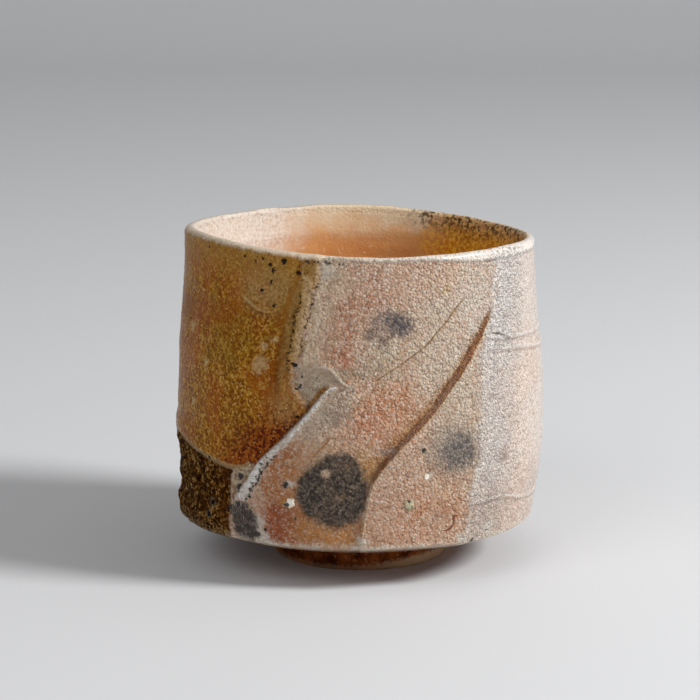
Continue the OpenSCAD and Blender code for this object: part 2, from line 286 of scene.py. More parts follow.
# Beads along the marks, as (height, half width). One below zero is a crease.
beads = {
    "ledge": (0.4, 0.6), "shortLedge": (0.22, 0.5), "drapeLeft": (0.14, 0.7), "drapeRight": (0.12, 0.6),
    "arc": (0.14, 0.6), "ringHigh": (0.32, 0.7), "ringMiddle": (0.2, 0.6), "ringLow": (0.3, 0.45),
    "crack": (-0.35, 0.35),
}
scoreLine = {"depth": 0.2, "half": 0.32, "from": 47.5, "fromSoft": 2, "to": 70, "toSoft": 3}

# Unevenness of the skin: its grains as (size, seed), and how high glaze, crust and bare clay stand on it
skinRelief = {
    "coarseGrain": (9, 1), "middleGrain": (3.2, 2), "fineGrain": (1.3, 4), "finestGrain": (0.85, 5),
    "coarse": 0.1, "middle": 0.05, "fine": 0.045, "finest": 0.035, "fade": 2,
    "ash": 0.3, "ashEdge": 1.5, "ashFine": 0.05, "crust": 0.3, "crustEdge": 1.2, "crustMiddle": 0.22,
    "crustFine": 0.2, "faceEdge": 0.1, "faceEdgeHalf": 0.35,
}


def outerSkin(angle, z, points):   # glaze, crust, rings and fine unevenness on top of the cut body
    g, s = skinRelief, scoreLine
    amber, crust = amberField(angle, z), crustField(angle, z)
    middle, fine = lumps(points, *g["middleGrain"]), lumps(points, *g["fineGrain"])
    height = g["coarse"] * lumps(points, *g["coarseGrain"]) + g["middle"] * middle
    height = height + g["ash"] * ease(amber / g["ashEdge"]) + g["ashFine"] * fine * ease(amber / g["fade"])
    rough = g["crust"] + g["crustMiddle"] * middle + g["crustFine"] * fine
    height = height + ease(crust / g["crustEdge"]) * rough
    for name, (rise, half) in beads.items():
        height = height + bead(distanceTo(angle, z, marks[name]), rise, half)
    onScore = ease((z - s["from"]) / s["fromSoft"]) * ease((s["to"] - z) / s["toSoft"])
    height = height - onScore * bead(distanceTo(angle, z, marks["score"]), s["depth"], s["half"])
    height = height + bead(guideDistance(angle, z, "faceEdge"), g["faceEdge"], g["faceEdgeHalf"])
    bare = (1 - ease(amber / g["fade"])) * (1 - ease(crust / g["fade"]))
    return height + (g["fine"] * fine + g["finest"] * lumps(points, *g["finestGrain"])) * bare


# What the finish is told about each place: how far in mm its distances reach, and where front and side lie
fieldReach, markReach = 25, 9
frontSpan = {"to": 118, "soft": 24}
sideSpan = {"from": -4, "fromSoft": 6, "to": 168, "toSoft": 30}


def markDistance(angle, z, name, upright=False):   # in mm, negative below a mark, or left of an upright one
    angles, heights = np.array(marks[name]).T
    if upright:
        side = np.sign(angle - np.interp(z, heights[::-1], angles[::-1]))
    else:
        side = np.sign(z - np.interp(angle, angles, heights))
    return np.clip(side * distanceTo(angle, z, marks[name]), -markReach, markReach)


def wallFields(angle, points, rim, inner):
    z = points[:, 2]
    u, v = unrolled(angle, z)
    edge = guideDistance(angle, z, "faceEdge")
    fromEdge = ease((edge - sideSpan["from"]) / sideSpan["fromSoft"])
    fields = {
        "flat": np.stack([u, v, 0 * u], axis=1),
        "drop": rim - z,
        "front": ease((frontSpan["to"] - np.abs(angle)) / frontSpan["soft"]),
        "inner": inner,
        "side": fromEdge * ease((sideSpan["to"] - angle) / sideSpan["toSoft"]) * (angle > 0),
    }
    distances = {
        "ridge": guideDistance(angle, z, "ridge"), "cut": guideDistance(angle, z, "cutEdge"),
        "faceEdge": edge, "amber": amberField(angle, z), "crust": crustField(angle, z),
        "border": guideDistance(angle, z, "ashBorder"), "line": guideDistance(angle, z, "ashLine"),
    }
    for name, distance in distances.items():
        fields[name] = np.clip(distance, -fieldReach, fieldReach)
    for name in ("hook", "arc", "ledge", "ringHigh", "ringMiddle", "ringLow", "crack", "dash", "crescent",
                 "score"):
        fields[name] = markDistance(angle, z, name)
    for name in ("drapeLeft", "drapeRight"):
        fields[name] = markDistance(angle, z, name, upright=True)
    return fields


def bakeMap(rings, quads, joined):   # the unrolled surface: turns run along u, rows along v, hubs at the ends
    count = len(rings[0])
    steps = [np.median(np.linalg.norm(a - b, axis=1)) for a, b in zip(rings, rings[1:] + rings[:1])]
    reach = np.cumsum([0.0] + steps)
    reach = reach / (reach[-1] if joined else reach[-2])
    row, turned = quads[:, 0] // count, quads[:, 0] % count
    u0, u1, v0, v1 = turned / count, (turned + 1) / count, reach[row], reach[row + 1]
    corners = np.stack([u0, v0, u1, v0, u1, v1, u0, v1], axis=1).ravel().tolist()
    tips = [] if joined else [0.0, 0.0] * 3 * count + [0.0, 1.0] * 3 * count
    return corners + tips


def ringMesh(name, rings, fields=None, hubs=None):   # closed by joining the ends, or by a fan to each hub
    count, rows = len(rings[0]), len(rings)
    here = np.arange(count)
    after = (here + 1) % count
    points = np.concatenate(rings if hubs is None else rings + [np.array(hubs)])
    quads = []
    for j in range(rows if hubs is None else rows - 1):
        low, high = j * count, (j + 1) % rows * count
        quads.append(np.stack([low + here, low + after, high + after, high + here], axis=1))
    quads = np.concatenate(quads)
    fans = []
    if hubs is not None:
        last = (rows - 1) * count
        fans += [(int(b), int(a), rows * count) for a, b in zip(here, after)]
        fans += [(int(last + a), int(last + b), rows * count + 1) for a, b in zip(here, after)]
    mesh = bpy.data.meshes.new(name)
    mesh.from_pydata((points * mm).tolist(), [], quads.tolist() + fans)
    mesh.polygons.foreach_set("use_smooth", [True] * len(mesh.polygons))
    layer = mesh.uv_layers.new(name="OFBake")
    layer.data.foreach_set("uv", bakeMap(rings, quads, hubs is None))
    for key, values in (fields or {}).items():
        kind, part = ("FLOAT_VECTOR", "vector") if np.ndim(values) == 2 else ("FLOAT", "value")
        mesh.attributes.new(key, kind, "POINT").data.foreach_set(part, np.ravel(values).tolist())
    mesh.validate()
    piece = bpy.data.objects.new(name, mesh)
    bpy.context.scene.collection.objects.link(piece)
    return piece


# How densely the wall is made, its lip and its lower edge, uneven by (size, seed), and its gap to the base
wallGrid = {"frontFrom": -118, "frontTo": 112, "frontStep": 0.5, "backStep": 1.1,
            "rowStep": 0.56, "lipRows": 9, "innerRows": 10, "roundRows": 4, "edgeRows": 4, "underRows": 9,
            "edge": 0.8, "seatGap": 0.06, "grainRadius": 40,
            "lipFlat": 0.9, "lipUneven": 0.12, "lipGrain": (7, 9), "innerFrom": 1.2, "innerSoft": 0.9,
            "ragged": 0.12, "raggedGrain": (2.2, 6)}


def wallAngles():   # close together in front, wider behind
    g = wallGrid
    front = np.arange(g["frontFrom"], g["frontTo"], g["frontStep"])
    rest = 360 - (g["frontTo"] - g["frontFrom"])
    count = int(rest / g["backStep"])
    return wrapped(np.concatenate([front, g["frontTo"] + rest * np.arange(count) / count]))


def outsideRows(angle, height, firstShare, topShare):   # a row is (radius, height, 1 on the inside)
    steps = int((topShare - firstShare) * body["cupHeight"] / wallGrid["rowStep"])
    rows = []
    for j in range(steps + 1):
        share = mix(firstShare, topShare, j / steps)
        z = share * height
        smooth = placed(roundRadius(share * body["cupHeight"]), angle, z)
        rows.append((outerRadius(angle, z, share, smooth) + outerSkin(angle, z, smooth), z, 0))
    return rows


def lipRows(angle, height, topShare, outer):
    g, inner = wallGrid, innerRadius(angle, topShare)
    middle, half = (outer + inner) / 2, (outer - inner) / 2
    uneven = g["lipUneven"] * lumps(placed(g["grainRadius"], angle, 0), *g["lipGrain"])
    rows = []
    for j in range(1, g["lipRows"] + 1):
        t = math.pi * j / g["lipRows"]
        z = topShare * height + half * g["lipFlat"] * math.sin(t) + uneven * math.sin(t)
        rows.append((middle + half * math.cos(t), z, ease((t - g["innerFrom"]) / g["innerSoft"])))
    return rows


def insideRows(angle, height, topShare, seat):
    g, side = wallGrid, innerRadius(angle, roundShare)
    rows = []
    for j in range(1, g["innerRows"] + 1):
        share = mix(topShare, roundShare, j / g["innerRows"])
        rows.append((innerRadius(angle, share), share * height, 1))
    for j in range(1, g["roundRows"] + 1):
        t = math.pi / 2 * j / g["roundRows"]
        z = floorTop + (roundShare * height - floorTop) * (1 - math.sin(t))
        rows.append((mix(side, seat, 1 - math.cos(t)), z, 1))
    return rows


def lowerRows(angle, corner, cornerZ, seat):   # from the seat of the base out to the rounded lower edge
    g = wallGrid
    ragged = g["ragged"] * lumps(placed(g["grainRadius"], angle, 0), *g["raggedGrain"])
    rows = []
    for j in range(g["underRows"]):
        t = j / g["underRows"]
        rows.append((mix(seat, corner - g["edge"], t), mix(body["footHeight"], cornerZ, t * t), 0))
    for j in range(g["edgeRows"]):
        t = math.pi / 2 * j / g["edgeRows"]
        z = cornerZ + g["edge"] * (1 - math.cos(t)) + ragged * math.cos(t)
        rows.append((corner - g["edge"] * (1 - math.sin(t)), z, 0))
    return rows


def makeWall():
    b, g = body, wallGrid
    angle = wallAngles()
    height = rimHeight(angle)
    lowShare, topShare = b["cornerHeight"] / b["cupHeight"], 1 - b["lip"] / 2 / b["cupHeight"]
    seat = b["floorRadius"] + g["seatGap"]
    rows = outsideRows(angle, height, lowShare + g["edge"] / b["cupHeight"], topShare)
    corner, top = rows[0][0], rows[-1][0]
    rows += lipRows(angle, height, topShare, top) + insideRows(angle, height, topShare, seat)
    rows += lowerRows(angle, corner, lowShare * height, seat)
    rows = rows[::-1]
    rings = [placed(radius, angle, z) for radius, z, inner in rows]
    inner = np.repeat([float(inner) for radius, z, inner in rows], len(angle))
    fields = wallFields(np.tile(angle, len(rings)), np.concatenate(rings), np.tile(height, len(rings)), inner)
    return ringMesh("cup_side", rings, fields)


class Channel:   # one value, colour or place on its way through a finish
    def __init__(self, recipe, socket):
        self.recipe, self.socket = recipe, socket

    def calc(self, operation, *others, flip=False):
        terms = (others + (self,)) if flip else ((self,) + others)
        return self.recipe.node("Math", {"operation": operation}, dict(enumerate(terms)))

    def __add__(self, other):
        return self.calc("ADD", other)

    def __sub__(self, other):
        return self.calc("SUBTRACT", other)

    def __rsub__(self, other):
        return self.calc("SUBTRACT", other, flip=True)

    def __mul__(self, other):
        return self.calc("MULTIPLY", other)

    def __truediv__(self, other):
        return self.calc("DIVIDE", other)

    __radd__, __rmul__ = __add__, __mul__

    def most(self, other):
        return self.calc("MAXIMUM", other)

    def least(self, other):
        return self.calc("MINIMUM", other)

    def size(self):
        return self.calc("ABSOLUTE")

    def rise(self, low, high):   # 0 at low, 1 at high and past it, smooth between; low may be the larger
        return self.recipe.node("MapRange", {"interpolation_type": "SMOOTHSTEP"},
                                {"Value": self, "From Min": low, "From Max": high})

    def fall(self, low, high):   # 1 at low, 0 at high
        return 1 - self.rise(low, high)

    def band(self, a, b, c, d):   # rises from a to b and falls again from c to d
        return self.rise(a, b) * self.fall(c, d)

    def line(self, inside, outside):   # 1 where the value is nearer to zero than inside, 0 past outside
        return self.size().fall(inside, outside)

    def tint(self, plain, full):   # a colour that goes from plain to full as this value goes from 0 to 1
        return self.recipe.node("Mix", {"data_type": "RGBA"}, {0: self, 6: plain, 7: full}, 2)

    def parts(self):   # the three numbers of a place
        split = self.recipe.node("SeparateXYZ", {}, {0: self})
        return [Channel(self.recipe, socket) for socket in split.socket.node.outputs]


class Recipe:   # one finish, as a material
    def __init__(self, name):
        self.material = bpy.data.materials.new(name)
        self.material.use_nodes = True
        self.tree = self.material.node_tree
        self.tree.nodes.clear()
        self.place = self.node("TexCoord", output="Object")

    def node(self, kind, settings=None, sockets=None, output=0):
        made = self.tree.nodes.new("ShaderNode" + kind)
        for key, value in (settings or {}).items():
            if key == "stops":
                ramp = made.color_ramp.elements
                while len(ramp) < len(value):
                    ramp.new(0.5)
                for stop, (position, colour) in zip(ramp, value):
                    stop.position, stop.color = position, colour
            else:
                setattr(made, key, value)
        for key, value in (sockets or {}).items():
            if isinstance(value, Channel):
                self.tree.links.new(value.socket, made.inputs[key])
            else:
                made.inputs[key].default_value = value
        return Channel(self, made.outputs[output])

    def vector(self, operation, *terms, output=0):
        return self.node("VectorMath", {"operation": operation}, dict(enumerate(terms)), output)

    def field(self, name):
        return self.node("Attribute", {"attribute_name": name}, output="Fac")

    def noise(self, size, detail=2.0, rough=0.5, stretch=(1, 1, 1), twist=0.0, shift=0.0):   # size in mm
        where = self.vector("MULTIPLY_ADD", self.place, stretch, (shift, 0, 0))
        return self.node("TexNoise", {}, {"Vector": where, "Scale": 1 / (size * mm), "Detail": detail,
                                          "Roughness": rough, "Distortion": twist})

    def cells(self, size, where, output="Distance"):   # pebbles: distance to the middle, or a shade for each
        return self.node("TexVoronoi", {}, {"Vector": where, "Scale": 1 / (size * mm)}, output)

    def dot(self, place, angle, height, wide, tall, soft):   # 1 inside an oval mark, 0 outside
        u, v = unrolled(angle, height)
        away = self.vector("SUBTRACT", place, (float(u), v, 0))
        scaled = self.vector("MULTIPLY", away, (1 / wide, 1 / tall, 0))
        return self.vector("LENGTH", scaled, output="Value").rise(1 + soft, 1 - soft)

    def shaken(self, place, size, reach):   # a place moved about by noise, so that edges turn ragged
        lift = self.node("TexNoise", {}, {"Vector": self.place, "Scale": 1 / (size * mm), "Detail": 3.0},
                         "Color")
        lift = self.vector("MULTIPLY_ADD", lift, (2 * reach, 2 * reach, 0), (-reach, -reach, 0))
        return self.vector("ADD", place, lift)

    def nearest(self, place, spots):   # distance to the closest of (angle, height, radius), counted in radii
        best = None
        for angle, height, radius in spots:
            u, v = unrolled(angle, height)
            away = self.vector("DISTANCE", place, (float(u), v, 0), output="Value") / radius
            best = away if best is None else best.least(away)
        return best

    def ramp(self, value, *stops):
        return self.node("ValToRGB", {"stops": stops}, {0: value})

    def finish(self, colour, roughness, bumps, coat=None, **plain):
        shader = {"Base Color": colour, "Roughness": roughness}
        normal = None
        for height, depth in bumps:
            sockets = {"Strength": 1.0, "Distance": depth * mm, "Height": height}
            if normal:
                sockets["Normal"] = normal
            normal = self.node("Bump", {}, sockets)
        shader["Normal"] = normal
        if coat is not None:
            shader["Coat Weight"] = coat
        shader.update({key.replace("_", " "): value for key, value in plain.items()})
        surface = self.node("BsdfPrincipled", {}, shader)
        end = self.tree.nodes.new("ShaderNodeOutputMaterial")
        self.tree.links.new(surface.socket, end.inputs["Surface"])
        return self.material


def paint(red, green, blue):   # a screen colour, 0 to 255, as the light that it stands for
    def straight(c):
        c /= 255
        return c / 12.92 if c <= 0.04045 else ((c + 0.055) / 1.055) ** 2.4
    return (straight(red), straight(green), straight(blue), 1.0)


class Coats:   # a colour built up one coat at a time
    def __init__(self, colour):
        self.colour = colour

    def add(self, mask, colour):
        self.colour = mask.tint(self.colour, colour)


# The glazed inside: cream on the left, blushed in the middle, amber ash on the right
innerPaints = {
    "blushDark": paint(200, 136, 78), "blushPale": paint(214, 158, 102), "rim": paint(232, 210, 178),
    "creamDark": paint(214, 196, 180), "creamPale": paint(238, 226, 214), "glow": paint(206, 140, 86),
    "amberDark": paint(194, 116, 0), "amberPale": paint(238, 176, 30), "char": paint(50, 34, 8),
    "oliveDark": paint(150, 92, 0), "olivePale": paint(212, 168, 92),
    "fleck": paint(250, 242, 228), "pit": paint(160, 112, 76),
}


def innerPaint(r, drop):
    c = innerPaints
    broad, fine = r.noise(9, 4, 0.6), r.noise(0.8, 4, 0.65)
    drift = broad - 0.5
    sway = r.place.parts()[0] / mm + drift * 18
    coats = Coats(broad.rise(0.35, 0.65).tint(c["blushDark"], c["blushPale"]))
    coats.add((drop + drift * 12 + (fine - 0.5) * 6).fall(1, 9.5), c["rim"])
    coats.add((sway + drop * 0.7 - 6).rise(-8, -28) * 0.92,
              fine.rise(0.35, 0.6).tint(c["creamDark"], c["creamPale"]))
    coats.add(sway.band(-22, -6, 8, 20) * drop.rise(5, 12) * 0.5, c["glow"])
    coats.add(sway.rise(12, 24) * (0.35 + 0.65 * drop.rise(0, 5)),
              fine.rise(0.35, 0.65).tint(c["amberDark"], c["amberPale"]))
    olive = (drop + drift * 14).fall(3, 13) * sway.rise(14, 25)
    coats.add(olive * 0.55, fine.rise(0.4, 0.6).tint(c["oliveDark"], c["olivePale"]))
    mottle = (r.noise(1.1, 3, 0.7, shift=0.4) + drift * 0.3).rise(0.49, 0.55)
    coats.add(mottle * (drop + drift * 10).fall(1.5, 6) * sway.rise(8, 17) * 0.85, c["char"])
    coats.add(fine.rise(0.6, 0.7) * 0.3 * sway.fall(6, 16), c["fleck"])
    coats.add(fine.rise(0.4, 0.3) * 0.25 * sway.fall(6, 16), c["pit"])
    return coats.colour


# Sizes in mm of the clay's grains, the ash's stipple and beads, and how far noise shakes them out of line
grain = {"pebble": 0.64, "speck": 0.42, "stipple": 0.5, "bead": 0.85, "shake": 0.7, "reach": 0.22}


def sideLookups(r):   # what the coats of the side share: places, masks in mm, and noises
    g = grain
    place = r.node("Attribute", {"attribute_name": "flat"}, output="Vector")
    across, up = place.parts()[:2]
    uneven = r.shaken(r.place, g["shake"], g["reach"] * mm)
    shade = r.cells(g["pebble"], uneven, "Color")
    sand = r.noise(0.4, 3, 0.62, shift=0.2)
    patchy = r.noise(4.5, 4, 0.65, shift=0.3)
    ripple = r.noise(2.2, 4, 0.68, shift=0.1) - 0.5
    jitter = sand - 0.5
    s = {name: r.field(name) for name in ("drop", "front", "inner", "ridge", "cut", "border", "line", "crust",
                                          "ledge")}
    drop, front, edge = s["drop"], s["front"], r.field("faceEdge")
    misty = up.band(41, 44, 52, 55) * across.rise(-19, -15) * front
    right = r.place.parts()[0] / mm + ripple * 8
    return s | {
        "across": across, "up": up, "edge": edge, "misty": misty, "right": right, "uneven": uneven,
        # places shaken for the edges of marks, from blurred to crisp
        "soft": r.shaken(place, 4, 2.6), "rough": r.shaken(place, 1.3, 1.5),
        "crisp": r.shaken(place, 0.6, 0.9),
        "shade": shade, "sand": sand, "patchy": patchy, "ripple": ripple, "jitter": jitter,
        "pebble": 1 - r.cells(g["pebble"], uneven), "speck": r.cells(g["speck"], uneven, "Color"),
        "stipple": r.cells(g["stipple"], uneven, "Color"), "broad": r.noise(14, 3, 0.5),
        "tops": shade.rise(0.5, 0.78), "lows": shade.rise(0.45, 0.2),
        "streak": r.noise(1.3, 4, 0.65, (1, 1, 0.5), 0.3), "slow": r.noise(8, 4, 0.6, (1, 1, 0.7)),
        "scab": r.noise(1.5, 4, 0.7, (1, 1, 0.85), 0.3),
        "burst": r.noise(0.7, 2, 0.5, shift=0.07).rise(0.46, 0.54),
        "scuffs": r.noise(1.1, 3, 0.6, (1, 1, 2.6), 0.5).rise(0.53, 0.62),
        # the round side wall, and its whitest part beside the flattened face
        "side": (edge + ripple * 8 + jitter * 3).rise(-2.5, 2.2) * r.field("side").rise(0, 0.5),
        "beside": (edge + ripple * 9 + (patchy - 0.5) * 12).fall(-2, 16) * (0.55 + 0.45 * up.rise(46, 58)),
        # mm inside the ash glaze, with a ragged border, and the lip worn to cream
        "melt": r.field("amber") + ripple * (1.2 + 2.4 * up.rise(50, 54) + 5 * misty) + jitter * 1.5,
        "worn": (drop - right.rise(12, 30) * 1.6 + ripple * 1.6 + jitter).fall(0.3, 1.3),
    }


# Bare, salted clay: beige, blushed by the flame, with cream, rust and grit on its grains, and painted
# highlights as white glints on some grains
clayPaints = {
    "beige": paint(210, 180, 152), "blush": paint(212, 168, 138), "backBlush": paint(206, 148, 116),
    "backGrey": paint(196, 184, 170), "cream": paint(248, 226, 202), "rust": paint(162, 90, 48),
    "grey": paint(164, 134, 114), "grit": paint(122, 78, 50), "glint": paint(254, 244, 230),
}

# Flashing on the bare front: (angle, height, half width, half height, strength, colour)
flashing = {
    "pinkTop": (17, 70, 9, 5, 0.6, paint(212, 174, 148)),
    "beigeFace": (10, 54, 8, 5, 0.75, paint(202, 184, 158)),
    "beigeTop": (27, 60, 8, 7, 0.7, paint(208, 190, 168)),
    "salmonTop": (1, 70, 6, 6.5, 0.65, paint(202, 154, 126)),
    "salmonLeft": (-6.3, 58, 3.4, 9, 0.75, paint(196, 140, 108)),
    "creamEdge": (40, 64, 6, 11, 0.9, paint(220, 206, 188)),
    "beigeEdge": (36, 44, 4, 12, 0.7, paint(210, 194, 172)),
    "salmonHook": (-4.6, 51.6, 2.4, 2.2, 0.95, paint(196, 120, 82)),
    "bandTop": (25, 52, 8, 6, 0.7, paint(214, 194, 170)),
    "band": (9, 42, 9, 6.5, 0.85, paint(206, 148, 108)),
    "bandRed": (2, 38, 6, 4, 0.6, paint(200, 132, 94)),
    "greyHook": (-8.5, 43.5, 4, 4, 0.8, paint(186, 162, 138)),
    "pinkLeft": (-25, 26, 6, 9, 1.0, paint(192, 120, 62)),
    "orangeLow": (-24, 15, 8, 4.8, 1.5, paint(170, 80, 10)),
    "ochreLow": (-9, 13.6, 9, 4, 1.0, paint(200, 132, 60)),
    "ochreSide": (1.6, 29.5, 1.8, 5, 0.8, paint(188, 148, 90)),
    "beigeRight": (30, 44, 7, 9, 0.65, paint(206, 188, 164)),
    "salmonLow": (22, 17, 11, 6, 0.75, paint(212, 154, 116)),
    "orangeRight": (27, 25, 4, 4, 0.35, paint(210, 160, 120)),
    "ochreFleck": (27.7, 69, 0.7, 1.8, 0.6, paint(206, 170, 100)),
}


def clayCoats(r, across, up, front, side, patchy, soft, speck, tops, lows, **shared):
    c = clayPaints
    clay = Coats(shared["broad"].rise(0.35, 0.65).tint(c["beige"], c["blush"]))
    for angle, height, wide, tall, strength, colour in flashing.values():
        blush = r.dot(soft, angle, height, wide, tall, 0.6) * (0.35 + patchy.rise(0.3, 0.6))
        clay.add((blush * strength).least(1), colour)
    clouds = r.noise(20, 4, 0.55, shift=0.6)
    clay.add(clouds.rise(0.48, 0.64) * (1 - front) * 0.75, c["backBlush"])
    clay.add(clouds.rise(0.46, 0.32) * (1 - front) * 0.7, c["backGrey"])
    clay.add(side, besideColour(r, up=up, patchy=patchy, **shared))
    faint = 1 - 0.6 * up.fall(17, 34) * across.rise(2, -4)
    clay.add(tops * (0.18 + 0.24 * patchy.rise(0.35, 0.6)) * faint, c["cream"])
    clay.add(lows * 0.26 * (1 - 0.6 * side), c["rust"])
    clay.add(lows * 0.22 * side, c["grey"])
    clay.add(speck.rise(0.35, 0.18) * 0.36 * (1 - 0.4 * side), c["grit"])
    # painted highlight: white glints on scattered grains
    clay.add(speck.rise(0.68, 0.88) * 0.42, c["glint"])
    return clay


# The round wall to the right of the flattened face, whitest beside it: partly pale glaze, partly painted
# sheen
besidePaints = {
    "pale": paint(225, 211, 200), "blush": paint(224, 202, 187), "white": paint(246, 243, 239),
    "scuffHighlight": paint(252, 250, 248), "dentShade": paint(172, 144, 122), "low": paint(196, 168, 150),
    "stain": paint(142, 106, 88),
}


def besideColour(r, up, broad, patchy, beside, scuffs, ripple, rough, **shared):
    c = besidePaints
    tone = Coats(broad.rise(0.4, 0.62).tint(c["pale"], c["blush"]))
    # white beside the face's edge: partly pale glaze, partly painted sheen
    tone.add(beside * patchy.rise(0.25, 0.45) * 0.95, c["white"])
    # painted highlights on the scuffs' relief
    tone.add(beside * scuffs * (0.6 + 0.4 * up.band(26, 31, 45, 52)), c["scuffHighlight"])
    # painted shade in the dents between the scuffs
    tone.add(beside * r.noise(0.9, 3, 0.6, (1, 1, 2.2), 0.3, 0.5).rise(0.43, 0.35) * 0.32, c["dentShade"])
    tone.add((up + ripple * 6).fall(17, 30) * 0.6, c["low"])
    tone.add(r.dot(rough, 49, 29.5, 1.6, 1.8, 0.6) * 0.6, c["stain"])
    return tone.colour


# The amber gather along the steep edge of the cut, which also paints the shade on the cut's step, the scored
# line above the band, and smaller lines
linePaints = {
    "gatherShadePale": paint(206, 156, 98), "gatherShadeDark": paint(160, 100, 42), "edgePoolShadePale": paint(168, 96, 32),
    "edgePoolShadeDark": paint(126, 66, 16), "cutLipHighlight": paint(232, 196, 152), "score": paint(146, 106, 56),
    "faceEdge": paint(242, 234, 222), "dash": paint(150, 100, 58), "crescent": paint(128, 62, 24),
}
gatherShadeReach = (0.108, -7.8)   # where the gather starts, in mm right of the cut: slope with the height, at 0


def lineCoats(r, clay, up, front, cut, edge, patchy, ripple, jitter, **shared):
    c = linePaints
    live = front * up.band(24, 29, 61, 64)
    drawn = r.noise(0.8, 3, 0.7, (1, 1, 0.45), 0.2, 0.6).rise(0.36, 0.62)
    reach = up.calc("MULTIPLY_ADD", *gatherShadeReach)
    # pooled amber glaze, spread over the cut's step as painted shade
    gatherAndShade = (cut - reach * (0.85 + ripple * 1.4) + jitter * 2.4).rise(-0.8, 2.2) * cut.fall(0.2, 0.42)
    clay.add(gatherAndShade * live * (0.5 + 0.4 * drawn), drawn.tint(c["gatherShadePale"], c["gatherShadeDark"]))
    # dark line at the cut's edge: partly pooled glaze, partly painted shadow on the step
    edgePoolAndShade = (cut + ripple * 1.4 + jitter * 1.6).band(-1.1, -0.1, 0.2, 0.4)
    clay.add(edgePoolAndShade * live * 0.75, drawn.tint(c["edgePoolShadePale"], c["edgePoolShadeDark"]))
    # painted highlight along the lip of the cut
    cutLipHighlight = (cut + jitter * 0.5).band(0.34, 0.44, 0.5, 0.8) * front * up.fall(60, 63)
    clay.add(cutLipHighlight * (0.3 + 0.5 * patchy), c["cutLipHighlight"])
    score = (r.field("score") + ripple * 0.3).line(0.1, 0.36) * up.band(48.6, 49.5, 65, 67.5)
    clay.add(score * (0.55 + 0.45 * patchy), c["score"])
    # painted highlight along the bead at the face's edge
    clay.add((edge + ripple * 1.4 + jitter).line(0.1, 0.7) * front * (0.2 + 0.6 * patchy), c["faceEdge"])
    for name in ("dash", "crescent"):
        clay.add((r.field(name) + ripple * 0.25).line(0.12, 0.45) * 0.85, c[name])


# Smoke left where the flame was held off:
# (angle, height, half width, half height, strength, softness, colour)
smokeMarks = [
    (9, 62.2, 3.8, 2.5, 0.8, 0.7, paint(118, 108, 104)),
    (13.2, 61, 2.7, 2.3, 1.0, 0.7, paint(84, 78, 82)),
    (3.2, 59.4, 1.4, 1.3, 0.8, 0.7, paint(110, 94, 88)),
    (7.4, 58, 1.4, 1.2, 0.7, 0.7, paint(116, 96, 86)),
    (29.6, 32.3, 5.6, 5.4, 0.75, 0.7, paint(130, 122, 112)),
    (31.6, 32.2, 3.6, 4.0, 0.8, 0.6, paint(96, 92, 90)),
    (8.6, 33.2, 1.5, 1.0, 0.6, 0.7, paint(120, 114, 120)),
    (-8, 41.6, 3.2, 2.0, 0.45, 0.8, paint(120, 106, 98)),
    (-8.7, 72.4, 1.0, 1.2, 0.7, 0.7, paint(104, 92, 88)),
    (25, 17.5, 2, 1.4, 0.35, 0.8, paint(140, 118, 102)),
]

# The charcoal pad low on the front, as ovals that overlap: (angle, height, half width, half height, softness)
padOvals = [(-7.8, 23.6, 7.9, 8.5, 0.16), (-12.6, 23.4, 5.6, 6.8, 0.2), (-6.4, 28.3, 5.0, 4.8, 0.16)]
padGlow = (-9, 24, 11.5, 12, 0.3)   # the flush around it
padPaints = {"dark": paint(38, 25, 12), "grey": paint(94, 75, 57), "glint": paint(162, 142, 120),
             "brown": paint(62, 46, 30), "glow": paint(204, 146, 92)}

# Small pale marks beside the pad: (angle, height, half width, half height, softness), strength, colour
padMarks = [((-10.6, 28.1, 1.0, 1.0, 0.5), 0.85, paint(216, 182, 152)),
            ((-21.8, 25.3, 1.0, 0.8, 0.5), 0.85, paint(232, 222, 208)),
            ((-24.6, 21, 0.9, 0.8, 0.5), 0.8, paint(190, 132, 48))]

# Whitish clumps, most of them near the lower edge: (angle, height, radius)
clumps = [(0.4, 12, 1.3), (-31.4, 11.4, 1.2), (-34, 15.5, 1.8), (-33.5, 12.5, 1.6), (22, 27, 0.6),
          (34, 11.4, 1.2), (45, 13, 1.6)]
clumpPaint = paint(230, 220, 204)


def joinedOvals(r, place, ovals):
    first, *others = [r.dot(place, *oval) for oval in ovals]
    for other in others:
        first = first.most(other)
    return first


def smokeCoats(r, clay, cut, soft, rough, crisp, shade, speck, patchy, **shared):
    c = padPaints
    for angle, height, wide, tall, strength, softness, colour in smokeMarks:
        smoke = r.dot(rough, angle, height, wide, tall, softness) * (0.25 + 1.2 * (1 - shade).most(0.35))
        clay.add((smoke * strength).least(0.92), colour)
    leftOfCut = (cut + 0.3).fall(0, 0.3)
    charcoal = Coats(shade.rise(0.2, 0.8).tint(c["dark"], c["grey"]))
    charcoal.add(speck.rise(0.6, 0.85) * 0.55, c["glint"])
    charcoal.add(patchy.rise(0.55, 0.4) * 0.4, c["brown"])
    clay.add(r.dot(soft, *padGlow) * leftOfCut * (0.2 + 0.4 * patchy), c["glow"])
    pad = joinedOvals(r, rough, padOvals) * leftOfCut
    clay.add(pad * (0.75 + 0.25 * patchy.rise(0.3, 0.5)), charcoal.colour)
    for oval, strength, colour in padMarks:
        clay.add(r.dot(crisp, *oval) * strength, colour)
    for angle, height, radius in clumps:
        clay.add(r.dot(rough, angle, height, radius, radius, 0.6) * 0.8, clumpPaint)


# The cream veil to the right of the ash glaze, and the grey hollow below it
veilPaints = {
    "cream": paint(228, 204, 174), "brown": paint(158, 118, 84), "white": paint(230, 218, 202),
    "hollowDark": paint(176, 150, 120), "hollowPale": paint(204, 186, 160), "shadow": paint(110, 92, 76),
}


